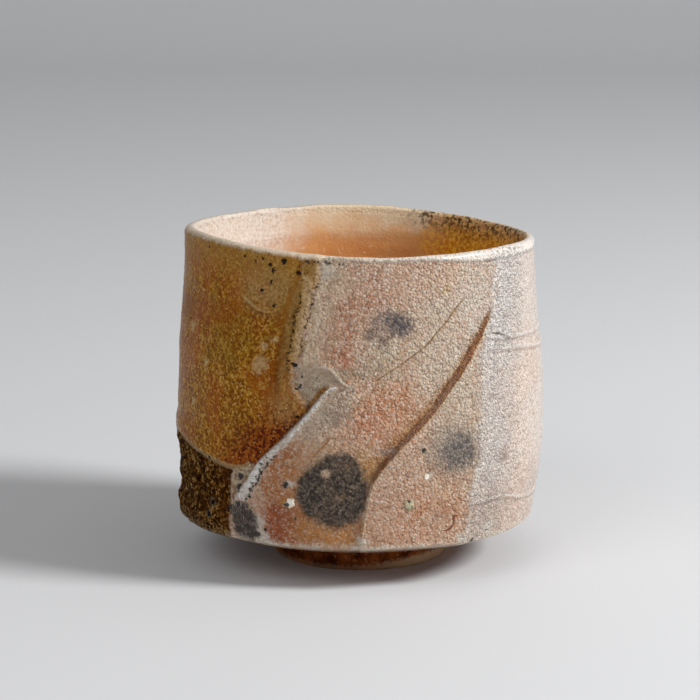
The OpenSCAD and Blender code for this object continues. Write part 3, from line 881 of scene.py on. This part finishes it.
def veilCoats(r, clay, across, up, front, ridge, border, patchy, ripple, jitter, shade, tops, lows, **shared):
    c = veilPaints
    veil = (border + ripple * 4 + jitter * 2.5).rise(-0.6, 0.6) * front * up.rise(50.5, 53)
    veil = veil * (border + ripple * 10 + (patchy - 0.5) * 9 + (shade - 0.5) * 5).fall(1.5, 8.5)
    clay.add(veil * (0.75 + 0.25 * tops), c["cream"])
    clay.add(veil * lows * 0.5, c["brown"])
    clay.add(r.dot(shared["rough"], -11, 73.4, 1.8, 1.8, 0.8) * 0.6, c["white"])
    hollow = border.rise(0, 0.8) * ridge.rise(-0.1, -0.7) * up.band(41, 43, 51, 53) * front
    hollow = hollow * across.rise(-17, -15)
    clay.add(hollow * 0.8, shade.tint(c["hollowDark"], c["hollowPale"]))
    clay.add(hollow * (up - 47 + ripple * 5).size().rise(0.5, 0.15) * 0.4, c["shadow"])


# Ash glaze: olive, gold and rust, stippled and run down the wall
ashStops = ((0.0, paint(116, 62, 0)), (0.3, paint(146, 88, 0)), (0.55, paint(164, 110, 12)),
            (0.8, paint(180, 128, 36)), (1.0, paint(202, 156, 78)))
ashPaints = {
    "rust": paint(156, 78, 0), "brown": paint(112, 72, 0), "olive": paint(150, 118, 34),
    "tan": paint(176, 140, 94), "besideLine": paint(136, 68, 0), "poolShadeDark": paint(82, 8, 0),
    "poolShadePale": paint(158, 78, 0), "milk": paint(166, 134, 86), "bead": paint(214, 176, 112),
    "spot": paint(206, 180, 130), "top": paint(170, 130, 62), "belt": paint(142, 70, 0),
    "arc": paint(206, 182, 138), "arcChar": paint(60, 38, 14),
}

# Pale round spots in the ash glaze: (angle, height, radius)
ashSpots = [(-65.6, 57.2, 1.1), (-55.2, 50.2, 0.9), (-31.5, 52.2, 1.6), (-30.7, 56.3, 1.0),
            (-33.2, 50.8, 1.1), (-27, 57.4, 0.8), (-63, 40, 0.8)]


def ashCoats(r, depth, across, up, front, ridge, ripple, jitter, uneven, stipple, slow, soft, **shared):
    c, size = ashPaints, grain["bead"]
    ash = Coats(r.ramp(depth, *ashStops))
    ash.add(slow.rise(0.45, 0.6) * (1 - depth * 0.5) * 0.75, c["rust"])
    ash.add(slow.rise(0.42, 0.3) * (1 - depth * 0.5) * 0.5, c["brown"])
    ash.add((slow + ripple * 0.3).rise(0.52, 0.38) * up.rise(44, 60) * (0.2 + 0.3 * depth), c["olive"])
    ash.add(r.dot(soft, -30, 69, 7.5, 5, 0.7) * (0.2 + 0.6 * stipple), c["tan"])
    ash.add(shared["line"].band(-5.5, -1.5, -0.4, 0.1) * up.band(44, 50, 62, 66) * front * depth.rise(1, 0.2)
            * 0.7, c["besideLine"])
    # glaze pooled along the ridge, darkened partly as painted shade beside the ridge
    poolAndShade = (ridge.size() + ripple * 7 + jitter * 4).fall(3, 13) * up.fall(38, 46)
    ash.add(poolAndShade * 0.92 * front, depth.rise(0.1, 0.9).tint(c["poolShadeDark"], c["poolShadePale"]))
    ash.add(r.dot(soft, -23.5, 43.5, 3.6, 3.8, 0.8) * (0.2 + 0.5 * stipple), c["milk"])
    beading = r.cells(size, uneven).rise(0.34, 0.16) * r.cells(size, uneven, "Color").rise(0.35, 0.7)
    ash.add(beading * (0.25 + 0.5 * (slow + ripple * 0.5).rise(0.4, 0.56)), c["bead"])
    ash.add(r.nearest(shared["rough"], ashSpots).rise(1.6, 0.5) * (0.3 + 0.5 * stipple), c["spot"])
    ash.add((shared["drop"] + ripple * 7).fall(1, 12) * 0.5, c["top"])
    belt = (up + ripple * 4).band(56, 61.5, 63.5, 66) * across.rise(-24, -34)
    ash.add(belt * (1 - depth * 0.5) * 0.65, c["belt"])
    arc = r.field("arc")
    # painted highlight along the top of the arc's bead
    ash.add((arc + ripple * 0.8).band(-0.1, 0.15, 0.3, 0.9) * across.band(-30, -28, -23, -21) * front
            * (0.1 + 0.5 * shared["patchy"]), c["arc"])
    ash.add((arc + ripple * 0.9).band(-1.3, -0.7, -0.2, 0.1) * across.band(-28, -25, -22, -20) * front
            * 0.6 * shared["burst"], c["arcChar"])
    return ash


# The columns between ash and veil: brown line, olive run, pale rib and two rows of burst bubbles
columnPaints = {
    "run": paint(160, 122, 68), "rib": paint(200, 172, 130), "fade": paint(210, 184, 148),
    "lineLow": paint(104, 54, 0), "lineHigh": paint(150, 88, 12), "grit": paint(96, 56, 12),
    "tongueDark": paint(112, 62, 6), "tonguePale": paint(188, 130, 44), "dots": paint(60, 46, 38),
}
bubbleRows = {"drapeLeft": (paint(34, 24, 16), 50, 68),   # with the heights from and to which they show
              "drapeRight": (paint(48, 36, 28), 55, 70)}


def columnCoats(r, ash, depth, up, front, border, line, ripple, jitter, streak, stipple, speck, tops,
                **shared):
    c = columnPaints
    run = (line + ripple * 2).rise(-0.2, 0.8) * front * up.rise(45, 50)
    ash.add(run * (0.45 + 0.5 * depth), c["run"])
    rib = (r.field("drapeLeft") + ripple * 1.8).band(-0.2, 1.5, 2, 3.2)
    ash.add(rib * up.rise(52, 56) * front * (0.3 + 0.6 * stipple), c["rib"])
    ash.add((border + ripple * 2).rise(-2.4, -0.2) * front * up.rise(52, 56) * (0.3 + 0.4 * tops), c["fade"])
    ash.add((line + ripple * 2.4 + jitter).line(0.1, 1.1) * front * up.rise(42, 50) * (0.3 + 0.7 * streak),
            up.rise(52, 66).tint(c["lineLow"], c["lineHigh"]))
    ash.add(run * speck.rise(0.4, 0.15) * 0.6, c["grit"])


def bubbleCoats(r, look, depth, across, up, drop, front, ridge, ripple, jitter, burst, **shared):
    c = columnPaints
    tongue = (ridge + ripple * 0.5).band(-1.8, -1.0, -0.15, 0.05) * up.band(40, 43, 47, 48.5) * front
    look.add(tongue * 0.9, depth.tint(c["tongueDark"], c["tonguePale"]))
    for name, (colour, low, high) in bubbleRows.items():
        row = (r.field(name) + ripple * 2 + jitter * 1.6).line(0.1, 0.6)
        row = row * up.band(low, low + 1, high, high + 1)
        look.add(row * (0.1 + 0.9 * burst) * front * 0.95, colour)
    dots = (drop + jitter * 1.2).band(0.9, 1.2, 1.5, 2.2) * across.band(-13.5, -12.5, -5, -2)
    look.add(dots * front * burst * 0.9, c["dots"])


# The dark crust under the ledge, the ledge's pale lip and the scorched spot in front of the crust
crustStops = ((0.0, paint(34, 8, 0)), (0.35, paint(72, 34, 0)), (0.6, paint(104, 62, 8)),
              (0.85, paint(144, 100, 38)), (1.0, paint(192, 154, 96)))
crustPaints = {
    "dark": paint(44, 20, 2), "rust": paint(104, 54, 10), "low": paint(164, 136, 92),
    "shelfDark": paint(136, 98, 50), "shelfPale": paint(210, 190, 154), "ledge": paint(204, 170, 116),
    "scorch": paint(18, 12, 8), "scorchGrey": paint(62, 48, 34), "ray": paint(190, 176, 154),
}
scorchOvals = [(-39.3, 15.2, 3.6, 4.6, 0.2), (-41.6, 17.2, 2.6, 2.6, 0.2), (-37.4, 12.8, 2.4, 2.6, 0.2)]


def crustCoats(r, look, across, up, front, crust, patchy, ripple, jitter, shade, stipple, scab, **shared):
    c = crustPaints
    char = Coats(r.ramp((scab * 0.7 + stipple * 0.3).rise(0.33, 0.67), *crustStops))
    char.add(patchy.rise(0.52, 0.64) * 0.5, c["dark"])
    char.add(across.rise(-39, -33) * shared["slow"].rise(0.35, 0.55) * 0.5, c["rust"])
    char.add((up + ripple * 3).fall(11, 14) * stipple.rise(0.4, 0.6) * 0.7, c["low"])
    look.add((crust + ripple * 1.5 + jitter).rise(-0.3, 0.4), char.colour)
    shelf = shared["ridge"].rise(-0.2, -0.8) * up.band(19.5, 20.5, 27, 28) * crust.band(-6, -5, -0.6, 0)
    look.add(shelf * front * (0.6 + 0.4 * patchy),
             shade.rise(0.25, 0.75).tint(c["shelfDark"], c["shelfPale"]))
    lip = (shared["ledge"] - 0.2 + ripple * 1.2 + jitter).line(0.15, 0.9)
    look.add(lip * across.band(-70, -58, -26.5, -25.5) * front * (0.35 + 0.5 * patchy), c["ledge"])
    rays = r.noise(0.85, 3, 0.6, (1, 1, 0.25), 1.2).rise(0.54, 0.6) * (0.25 + 0.75 * up.rise(13, 19))
    scorch = shade.rise(0.3, 0.8).tint(c["scorch"], c["scorchGrey"])
    look.add(joinedOvals(r, shared["rough"], scorchOvals) * 0.95, (rays * 0.85).tint(scorch, c["ray"]))


# The torn ridge, the hook above it and the lower edge, all whitened
ridgePaints = {
    "chalkDark": paint(218, 204, 186), "chalkPale": paint(250, 248, 243), "below": paint(196, 176, 152),
    "tear": paint(30, 20, 14), "hook": paint(236, 220, 198), "lowEdge": paint(232, 218, 198),
    "underDark": paint(110, 62, 32), "underPale": paint(170, 122, 82),
}
chalkWidth = (-0.08, 4.4)   # the white line's width in mm: slope with the height, at 0


def ridgeCoats(r, look, across, up, front, ridge, patchy, ripple, jitter, shade, **shared):
    c = ridgePaints
    width = up.calc("MULTIPLY_ADD", *chalkWidth)
    white = (ridge + ripple * 0.8 + jitter * 0.8).rise(-0.35, 0.05)
    white = white * ((ridge + ripple * 2.2 + jitter * 1.6) / width).fall(0.35, 1.25)
    white = white * up.band(19.6, 20.6, 49, 50.2) * front * across.rise(-5, -6.4)
    look.add(white * 0.95, shade.rise(0.25, 0.7).tint(c["chalkDark"], c["chalkPale"]))
    look.add((ridge - width + ripple * 3).band(-0.6, 0.2, 1.6, 3.4) * up.band(34, 38, 46, 49) * front
             * across.rise(-4, -6) * (0.25 + 0.5 * patchy), c["below"])
    tear = (ridge - width * 0.8 + ripple * 1.6 + jitter).line(0.15, 0.5) * up.band(19.6, 20.6, 31, 33)
    look.add(tear * shared["burst"] * front * 0.95, c["tear"])
    # cream along the hook's rolled edge, partly painted highlight on its top
    hook = (r.field("hook") + ripple * 0.4 + jitter * 0.3).line(0.1, 0.45) * across.band(-9.6, -9, -2, -0.4)
    look.add(hook * front * 0.75, c["hook"])
    rolled = (up + ripple * 4 + jitter * 2).fall(10.0, 11.8) * (1 - shared["crust"].rise(-1, 1) * 0.7)
    look.add(rolled * (0.2 + 0.8 * patchy.rise(0.35, 0.6)), c["lowEdge"])
    look.add((up + jitter * 0.6).fall(9.0, 9.9) * 0.85, shared["tops"].tint(c["underDark"], c["underPale"]))


# Pits burnt through the skin: (angle, height, radius)
burntPits = [
    (-19.7, 72.8, 0.55), (-19.4, 74.3, 0.3), (-28.2, 73, 0.5), (-29.3, 74.3, 0.42), (-24.4, 75.2, 0.6),
    (-28.9, 70.3, 0.36), (-32.1, 68.4, 0.34), (-38.8, 75.5, 0.28), (-34.9, 74.7, 0.3), (-31.9, 75.3, 0.34),
    (-18.5, 49.8, 0.36), (-13.4, 49.8, 0.28), (-19.8, 47, 0.42), (-18.8, 47.6, 0.42), (-20.4, 52.4, 0.55),
    (1.2, 49.9, 0.32), (-19.3, 40.8, 0.36), (-56, 76.2, 0.3), (-67.8, 58.5, 0.32), (-53.2, 28.2, 0.5),
    (-23.5, 20.4, 0.42), (-52.7, 17.8, 0.65), (-54.7, 14.7, 0.6), (20, 33.2, 0.6), (-23.6, 25.1, 0.72),
    (-31.7, 13.8, 0.5), (-13.2, 70.5, 0.32), (-28.8, 31.1, 0.3), (-30.9, 29.5, 0.32), (-31.9, 28.2, 0.26),
    (-33.2, 26.2, 0.34), (-34.8, 24.6, 0.32), (-35.7, 23.1, 0.36), (-36.3, 21.2, 0.42), (-39.7, 25.6, 0.8),
    (-40.2, 22.9, 0.9), (38.1, 10.8, 0.5), (44.3, 12.2, 0.3), (29, 12, 0.3), (-27.7, 65.1, 0.3),
    (-20.8, 17.2, 0.3),
]
markPaints = {
    "halo": paint(226, 206, 178), "pit": paint(24, 16, 12), "iron": paint(40, 26, 16),
    "crack": paint(96, 78, 66), "ringShade": paint(150, 122, 104), "ringHighlight": paint(248, 243, 236),
    "lipLeft": paint(232, 215, 192), "lipRight": paint(240, 232, 222),
}
ironSpacing = 2.3


def markCoats(r, look, holes, across, drop, front, side, border, patchy, ripple, melt, **shared):
    c = markPaints
    look.add(holes.rise(2.2, 1.1) * 0.2 * melt.fall(0, 1), c["halo"])
    look.add(holes.rise(1.15, 0.75) * 0.97, c["pit"])
    iron = r.cells(ironSpacing, r.place).rise(0.13, 0.08) * drop.fall(3, 8) * border.fall(-1, 4) * front
    look.add(iron * 0.85, c["iron"])
    crack = (r.field("crack") + ripple * 0.8).line(0.1, 0.4) * across.band(33, 34, 39, 40.5)
    look.add(crack * 0.75, c["crack"])
    for name in ("ringHigh", "ringMiddle", "ringLow"):
        ring = r.field(name) + ripple * 0.9
        # painted shadow under each throwing ring and painted highlight along its top
        look.add(ring.band(-1.1, -0.6, -0.3, 0) * side * 0.4, c["ringShade"])
        look.add(ring.band(0, 0.2, 0.4, 0.8) * side * patchy * 0.9, c["ringHighlight"])
    look.add(shared["worn"] * 0.85, shared["right"].rise(-8, 20).tint(c["lipLeft"], c["lipRight"]))
    look.add(shared["inner"], innerPaint(r, drop))


# Fine relief of the side: orange peel on the clay, finer on the glaze, coarse on the crust, with pits in all
def sideSkin(r, holes, wet, dull, side, edge, pebble, patchy, ripple, sand, stipple, inner, **shared):
    swell = r.noise(1.5, 3, 0.6, shift=0.15)
    calm = (1 - 0.85 * wet) * (1 - 0.45 * side * (edge + ripple * 12).rise(3, 17))
    calm = calm * (1 - 0.6 * shared["worn"])
    relief = (pebble * (0.3 + 0.9 * patchy) + swell * 1.1 + sand * 0.55) * calm
    relief = relief + shared["scuffs"] * shared["beside"] * side * 0.9
    relief = relief + (stipple * 0.16 + sand * 0.16 + swell * 0.2) * wet * (1 - 0.8 * inner)
    return relief + (shared["scab"] * 1.2 + pebble * 0.3) * dull - holes.rise(1.2, 0.6)


sideSurface = {"relief": 1.15, "coatRoughness": 0.15, "specular": 0.04}


def sideFinish():
    r, g = Recipe("wood-fired side"), sideSurface
    s = sideLookups(r)
    depth = (s["streak"] * 0.5 + s["stipple"] * 0.5).rise(0.3, 0.72)
    holes = r.nearest(s["crisp"], burntPits)
    clay = clayCoats(r, **s)
    lineCoats(r, clay, **s)
    smokeCoats(r, clay, **s)
    veilCoats(r, clay, **s)
    ash = ashCoats(r, depth, **s)
    columnCoats(r, ash, depth, **s)

    blur = 1 + 5 * s["misty"] + 2.5 * s["up"].rise(54, 58) * s["front"]
    look = Coats((s["melt"] / blur).rise(-0.2, 0.4).tint(clay.colour, ash.colour))
    bubbleCoats(r, look, depth, **s)
    crustCoats(r, look, **s)
    ridgeCoats(r, look, **s)
    markCoats(r, look, holes, **s)

    wet = s["melt"].rise(-0.3, 0.6).most(s["inner"])
    dull = s["crust"].rise(-0.5, 0.5) * (1 - s["inner"])
    gloss = wet.calc("MULTIPLY_ADD", -0.2, 0.48) + 0.3 * (s["sand"] - 0.5) + 0.25 * dull
    coat = (s["tops"] * 0.4 + 0.6) * (1 - dull) * (1 - 0.85 * wet)
    relief = sideSkin(r, holes, wet, dull, **s)
    return r.finish(look.colour, gloss, [(relief, g["relief"])], coat,
                    Coat_Roughness=g["coatRoughness"], Specular_IOR_Level=g["specular"])


def liningFinish():
    r = Recipe("liner glaze")
    return r.finish(innerPaint(r, r.field("drop")), 0.32 + 0.15 * (r.noise(0.8, 2) - 0.5),
                    [(r.noise(2.4, 3, 0.6), 0.16), (r.noise(0.6, 2), 0.05)], Specular_IOR_Level=0.08)


# Bare clay of base and foot, its dark brown partly painted shade under the body, and paler along the foot's
# lower edge, most on the right, partly as a painted highlight
barePaints = {"dark": paint(66, 18, 0), "rust": paint(138, 70, 26), "sand": paint(196, 140, 90),
              "grit": paint(48, 26, 14), "edge": paint(214, 178, 138)}


def bareFinish(name):
    r, c = Recipe(name), barePaints
    parts = r.place.parts()
    across, up = parts[0] / mm, parts[2] / mm
    tone, fine, grit = r.noise(5, 4, 0.65), r.noise(0.9, 4, 0.65), r.noise(0.4, 2, 0.6)
    # dark brown, partly painted shade under the body
    coats = Coats(tone.rise(0.38, 0.62).tint(c["dark"], c["rust"]))
    coats.add(fine.rise(0.55, 0.7) * 0.5, c["sand"])
    coats.add(grit.rise(0.6, 0.72) * 0.5, c["grit"])
    # pale lower edge, stronger towards the right: partly painted highlight
    edge = (up + (fine - 0.5) * 3 - across.rise(-4, 16) * 1.6).fall(0.3, 1.6)
    coats.add(edge * (0.35 + 0.5 * across.rise(-4, 16)), c["edge"])
    return r.finish(coats.colour, 0.8 + 0.15 * (fine - 0.5), [(fine, 0.3), (grit, 0.14)],
                    Specular_IOR_Level=0.06)


stonePaints = {"glassDark": paint(132, 120, 86), "glassPale": paint(196, 188, 158),
               "milkDark": paint(226, 210, 186), "milkPale": paint(244, 238, 226),
               "grit": paint(96, 86, 76), "hole": paint(30, 26, 26)}


def stoneFinish():
    r, c = Recipe("stone"), stonePaints
    fine, milk = r.noise(0.5, 3, 0.6), r.noise(1.2, 3, 0.5)
    glass = milk.rise(0.35, 0.65).tint(c["glassDark"], c["glassPale"])
    white = milk.rise(0.3, 0.7).tint(c["milkDark"], c["milkPale"])
    coats = Coats(r.field("kind").rise(0.3, 0.7).tint(glass, white))
    coats.add(fine.rise(0.6, 0.7) * 0.5, c["grit"])
    coats.add((r.field("hole") + (fine - 0.5) * 0.6).rise(0.62, 0.4) * 0.95, c["hole"])
    return r.finish(coats.colour, 0.22 + 0.2 * fine, [(milk, 0.2), (fine, 0.06)], IOR=1.5)


# The lining inside, with throwing rings up the side and a whorl on the floor. Pairs of row counts are for
# its hidden and its seen skin.
liningShape = {"thick": 0.4, "gap": 0.1, "drop": 2.2, "angleStep": 1.5,
               "thin": 0.03, "thinning": 6, "thinShare": 0.005,
               "rings": 0.06, "ringStep": 2.1, "ringFade": 12, "uneven": 0.07, "rise": 0.04, "grain": (6, 11),
               "grainRadius": 38, "whorl": 0.16, "whorlStep": 1.7, "whorlFade": 5,
               "hiddenRings": (3, 12, 22), "sideRows": (10, 60), "cornerRows": (6, 16), "lipRow": 0.06,
               "floorStep": 0.6, "floorLast": 0.5, "hubDrop": 60.0}


def makeLining():
    b, g = body, liningShape
    angle = turns(g["angleStep"])
    height = rimHeight(angle)
    topShare = 1 - g["drop"] / b["cupHeight"]
    low = b["floorRadius"] - g["thick"]
    hidden, seen = g["gap"], g["gap"] + g["thick"]   # how far each skin lies in from the clay

    def side(share, inset):
        z = share * height
        rings = g["rings"] * np.sin(z / g["ringStep"] * math.pi + np.radians(angle))
        rings = rings * ease((1 - share) * g["ringFade"])
        thin = 1 - ease((topShare + g["thinShare"] - share) * b["cupHeight"] / g["thinning"])
        uneven = g["uneven"] * lumps(placed(g["grainRadius"], angle, z), *g["grain"])
        uneven = (rings + uneven + g["rise"]) * (1 - thin) * (inset > hidden)
        inset = inset - (inset > hidden) * (g["thick"] - g["thin"]) * thin
        return placed(innerRadius(angle, share) - inset - np.maximum(uneven, 0), angle, z)

    def corner(t, inset):
        radius = mix(innerRadius(angle, roundShare) - inset, low, 1 - math.cos(t))
        rise = (roundShare * height - floorTop - inset) * (1 - math.sin(t))
        return placed(radius, angle, floorTop + inset + rise)

    def flat(radius, inset):
        whorl = g["whorl"] * np.sin(radius / g["whorlStep"] * math.pi + np.radians(angle))
        whorl = whorl * ease(radius / g["whorlFade"]) * (inset > hidden)
        return placed(radius, angle, floorTop + inset + np.abs(whorl))

    (rowsHidden, rowsSeen), (bendHidden, bendSeen) = g["sideRows"], g["cornerRows"]
    rings = [flat(radius, hidden) for radius in g["hiddenRings"]]
    rings += [corner(math.pi / 2 * (1 - j / bendHidden), hidden) for j in range(bendHidden + 1)]
    rings += [side(mix(roundShare, topShare, j / rowsHidden), hidden) for j in range(1, rowsHidden + 1)]
    rings += [side(mix(topShare, roundShare, j / rowsSeen), seen)
              for j in [0, g["lipRow"]] + list(range(1, rowsSeen + 1))]
    rings += [corner(math.pi / 2 * j / bendSeen, seen) for j in range(1, bendSeen + 1)]
    step = g["floorStep"]
    rings += [flat(radius, seen) for radius in np.arange(low - step, g["floorLast"], -step)]
    drop = np.tile(height, len(rings)) - np.concatenate(rings)[:, 2]
    hubs = ((0, 0, floorTop + hidden), (0, 0, floorTop + seen))
    return ringMesh("cup_lining", rings, {"drop": np.append(drop, [g["hubDrop"]] * len(hubs))}, hubs)


# The base disc, with the whorl that the trimming tool left under it
baseShape = {"angleStep": 1.5, "first": 0.6, "step": 0.4, "rim": 0.1, "edgeRows": 4,
             "whorl": 0.18, "whorlStep": 1.3, "whorlTo": 20, "whorlFade": 3,
             "uneven": 0.05, "grain": (2.5, 3)}


def makeBase():
    g, low, high, radius = baseShape, body["footHeight"], floorTop, body["floorRadius"]
    angle = turns(g["angleStep"])
    rings = []
    for r in np.arange(g["first"], radius - g["rim"], g["step"]):
        whorl = g["whorl"] * np.maximum(0, np.sin(r / g["whorlStep"] * math.pi + np.radians(angle)))
        whorl = whorl * ease((g["whorlTo"] - r) / g["whorlFade"]) * ease(r / g["whorlFade"])
        uneven = np.maximum(0, g["uneven"] * lumps(placed(r, angle, 0), *g["grain"]))
        rings.append(placed(r, angle, low + whorl + uneven))
    rows = g["edgeRows"]
    rings += [placed(radius, angle, mix(low, high, k / rows)) for k in range(rows + 1)]
    rings += [placed(radius * k / rows, angle, high) for k in range(rows - 1, 0, -1)]
    return ringMesh("cup_base", rings, hubs=((0, 0, low), (0, 0, high)))


# The foot ring: its section, the trimming marks on it and the chips along its lower face
footShape = {"top": 21.2, "low": 20.4, "width": 4.6, "bevel": 0.6, "round": 0.18,
             "step": 0.5, "angleStep": 1.25,
             "trim": 0.07, "trimTurns": 4.2, "uneven": 0.12, "grain": (2.6, 8), "fine": 0.05,
             "fineGrain": (0.9, 7), "bite": 0.1, "chips": 0.06, "chipGrain": (2.2, 5)}


def stepped(profile, step):   # a closed profile of (radius, height) with a point about every step
    points = []
    for (r0, z0), (r1, z1) in zip(profile, profile[1:] + profile[:1]):
        n = max(1, int(math.hypot(r1 - r0, z1 - z0) / step))
        points += [(mix(r0, r1, k / n), mix(z0, z1, k / n)) for k in range(n)]
    return points


def makeFoot():
    g, height = footShape, body["footHeight"]
    low, inner = g["low"], g["low"] - g["width"]
    bevel, corner = g["bevel"], g["round"]
    profile = [(inner + bevel, 0), (low - bevel, 0), (low - corner, corner), (low, bevel), (g["top"], height),
               (inner - bevel, height), (inner, bevel), (inner + corner, corner)]
    angle = turns(g["angleStep"])
    rings = []
    for radius, z in stepped(profile, g["step"])[::-1]:
        ring = placed(radius, angle, z)
        trim = g["trim"] * np.sin(z * g["trimTurns"] + np.radians(angle) * 2)
        trim = trim + g["uneven"] * lumps(ring, *g["grain"]) + g["fine"] * lumps(ring, *g["fineGrain"])
        bite = np.maximum(trim + g["bite"], 0) * (0 < z < height)
        outer = radius > low - g["width"] / 2
        chips = np.maximum(g["chips"] * lumps(ring, *g["chipGrain"]), 0) * (z == 0)
        rings.append(placed(radius + (-bite if outer else bite), angle, z + chips))
    return ringMesh("foot", rings)


# Stones fused into the wall: (angle, share of the height, size, kind, (angle, height) of its hole). Kind 0 is
# glassy and 1 milky; the last stone's hole lies out of its reach.
stones = [(16, 0.27, 1.2, 0.0, (15.7, 21.7)), (-22.2, 0.272, 1.05, 1.0, (-23.2, 20.5)),
          (21, 0.354, 0.6, 1.0, (90, 0))]
stoneShape = {"rows": 17, "turns": 36, "flatness": 0.3, "rough": 0.3, "roughShare": 0.7, "proud": 0.05,
              "seedStep": 9, "grainRadius": 41.0}


def makeStone(index, middle, share, size, kind, hole):
    g = stoneShape
    height = share * rimHeight(middle)
    angle, z = np.array([middle]), np.array([height])
    radius = outerRadius(angle, z, share, placed(g["grainRadius"], angle, z))[0] + g["proud"]
    a = np.radians(middle)
    out, sideways = np.array([math.sin(a), -math.cos(a), 0]), np.array([math.cos(a), math.sin(a), 0])
    upward = np.array([0, 0, 1.0])
    centre = out * radius + upward * height
    s = np.linspace(0, 2 * math.pi, g["turns"], endpoint=False)
    rings = []
    for j in range(g["rows"]):
        t = math.pi * (j + 0.5) / g["rows"]
        local = (np.outer(np.sin(t) * np.cos(s), sideways) + np.outer(np.sin(t) * np.sin(s), upward)) * size
        local = local + out * (math.cos(t) * size * g["flatness"])
        rough = lumps(local + g["seedStep"] * index, g["roughShare"] * size, index)
        rings.append(local * (1 + g["rough"] * rough[:, None]) + centre)
    rings = rings[::-1]
    hubs = (centre - out * size * g["flatness"], centre + out * size * g["flatness"])
    points = np.concatenate(rings + [np.array(hubs)])
    u, v = unrolled(np.degrees(np.arctan2(points[:, 0], -points[:, 1])), points[:, 2])
    holeU, holeV = unrolled(*hole)
    fields = {"kind": np.full(len(points), kind), "hole": np.hypot(u - holeU, v - holeV)}
    return ringMesh("stones" + str(index), rings, fields, hubs)


wall = makeWall()
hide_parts("cup_wall", "ash_glaze", "kiln_crust")
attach(wall, "root")
wall.data.materials.append(sideFinish())
print("stage: side of the cup, faces", len(wall.data.polygons))

lining = makeLining()
lining.data.materials.append(liningFinish())
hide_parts("liner_glaze")
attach(lining, "root")

base = makeBase()
base.data.materials.append(bareFinish("bare base"))
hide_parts("cup_floor")
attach(base, "root")

foot = makeFoot()
foot.data.materials.append(bareFinish("bare foot"))
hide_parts("foot_ring")
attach(foot, "root")

stoneSkin = stoneFinish()
for index, described in enumerate(stones):
    stone = makeStone(index, *described)
    stone.data.materials.append(stoneSkin)
    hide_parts("stone_chips")
    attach(stone, "root")
print("stage: lining, base, foot and stones")

view = {"distance": 600.0, "height": 170.6, "tilt": 11.56, "turn": 0.23, "lens": 134.1, "sensor": 36,
        "near": 10}
camera = bpy.data.objects.new("camera", bpy.data.cameras.new("camera"))
camera.data.sensor_width = view["sensor"]
camera.data.lens = view["lens"]
camera.data.clip_start = view["near"] * mm
camera.location = (0, -view["distance"] * mm, view["height"] * mm)
camera.rotation_euler = (math.radians(90 - view["tilt"]), 0, math.radians(view["turn"]))
bpy.context.scene.collection.objects.link(camera)
bpy.context.scene.camera = camera

# Studio light: angle and rise in degrees, distance and width in metres, power in watts
lamps = {"window": (72, 36, 1.2, 0.32, 12.6), "fill": (-35, 40, 1.6, 1.0, 3.6)}
roomLight = 0.3


def makeLamp(name, angle, rise, distance, width, power):
    lamp = bpy.data.objects.new(name, bpy.data.lights.new(name, "AREA"))
    lamp.data.shape, lamp.data.size, lamp.data.energy = "DISK", width, power
    a, e = math.radians(angle), math.radians(rise)
    lamp.location = Vector((math.sin(a) * math.cos(e), -math.cos(a) * math.cos(e), math.sin(e))) * distance
    lamp.rotation_euler = (-Vector(lamp.location)).to_track_quat("-Z", "Y").to_euler()
    bpy.context.scene.collection.objects.link(lamp)


for name, lamp in lamps.items():
    makeLamp(name, *lamp)

world = bpy.data.worlds.new("studio")
bpy.context.scene.world = world
world.use_nodes = True
world.node_tree.nodes["Background"].inputs["Color"].default_value = (1, 1, 1, 1)
world.node_tree.nodes["Background"].inputs["Strength"].default_value = roomLight

# A floor that bends up behind the cup, in metres, with a faint grain in mm
backdrop = {"front": -2.0, "bendAt": 1.2, "bend": 0.5, "bendRows": 12, "top": 2.5, "half": 2.5,
            "colour": paint(228, 229, 231), "roughness": 0.8, "grain": 40, "relief": 0.01}


def makeFloor():
    g = backdrop
    profile = [(g["front"], 0.0), (g["bendAt"], 0.0)]
    for k in range(1, g["bendRows"] + 1):
        t = math.pi / 2 * k / g["bendRows"]
        profile.append((g["bendAt"] + g["bend"] * math.sin(t), g["bend"] * (1 - math.cos(t))))
    profile.append((g["bendAt"] + g["bend"], g["top"]))
    points = [(x, y, z) for x in (-g["half"], g["half"]) for y, z in profile]
    n = len(profile)
    faces = [(k, n + k, n + k + 1, k + 1) for k in range(n - 1)]
    mesh = bpy.data.meshes.new("floor")
    mesh.from_pydata(points, [], faces)
    mesh.polygons.foreach_set("use_smooth", [True] * len(mesh.polygons))
    sheet = bpy.data.objects.new("floor", mesh)
    bpy.context.scene.collection.objects.link(sheet)
    r = Recipe("pale backdrop")
    mesh.materials.append(r.finish(g["colour"], g["roughness"], [(r.noise(g["grain"], 2), g["relief"])]))


makeFloor()
bpy.context.scene.view_settings.view_transform = "Standard"
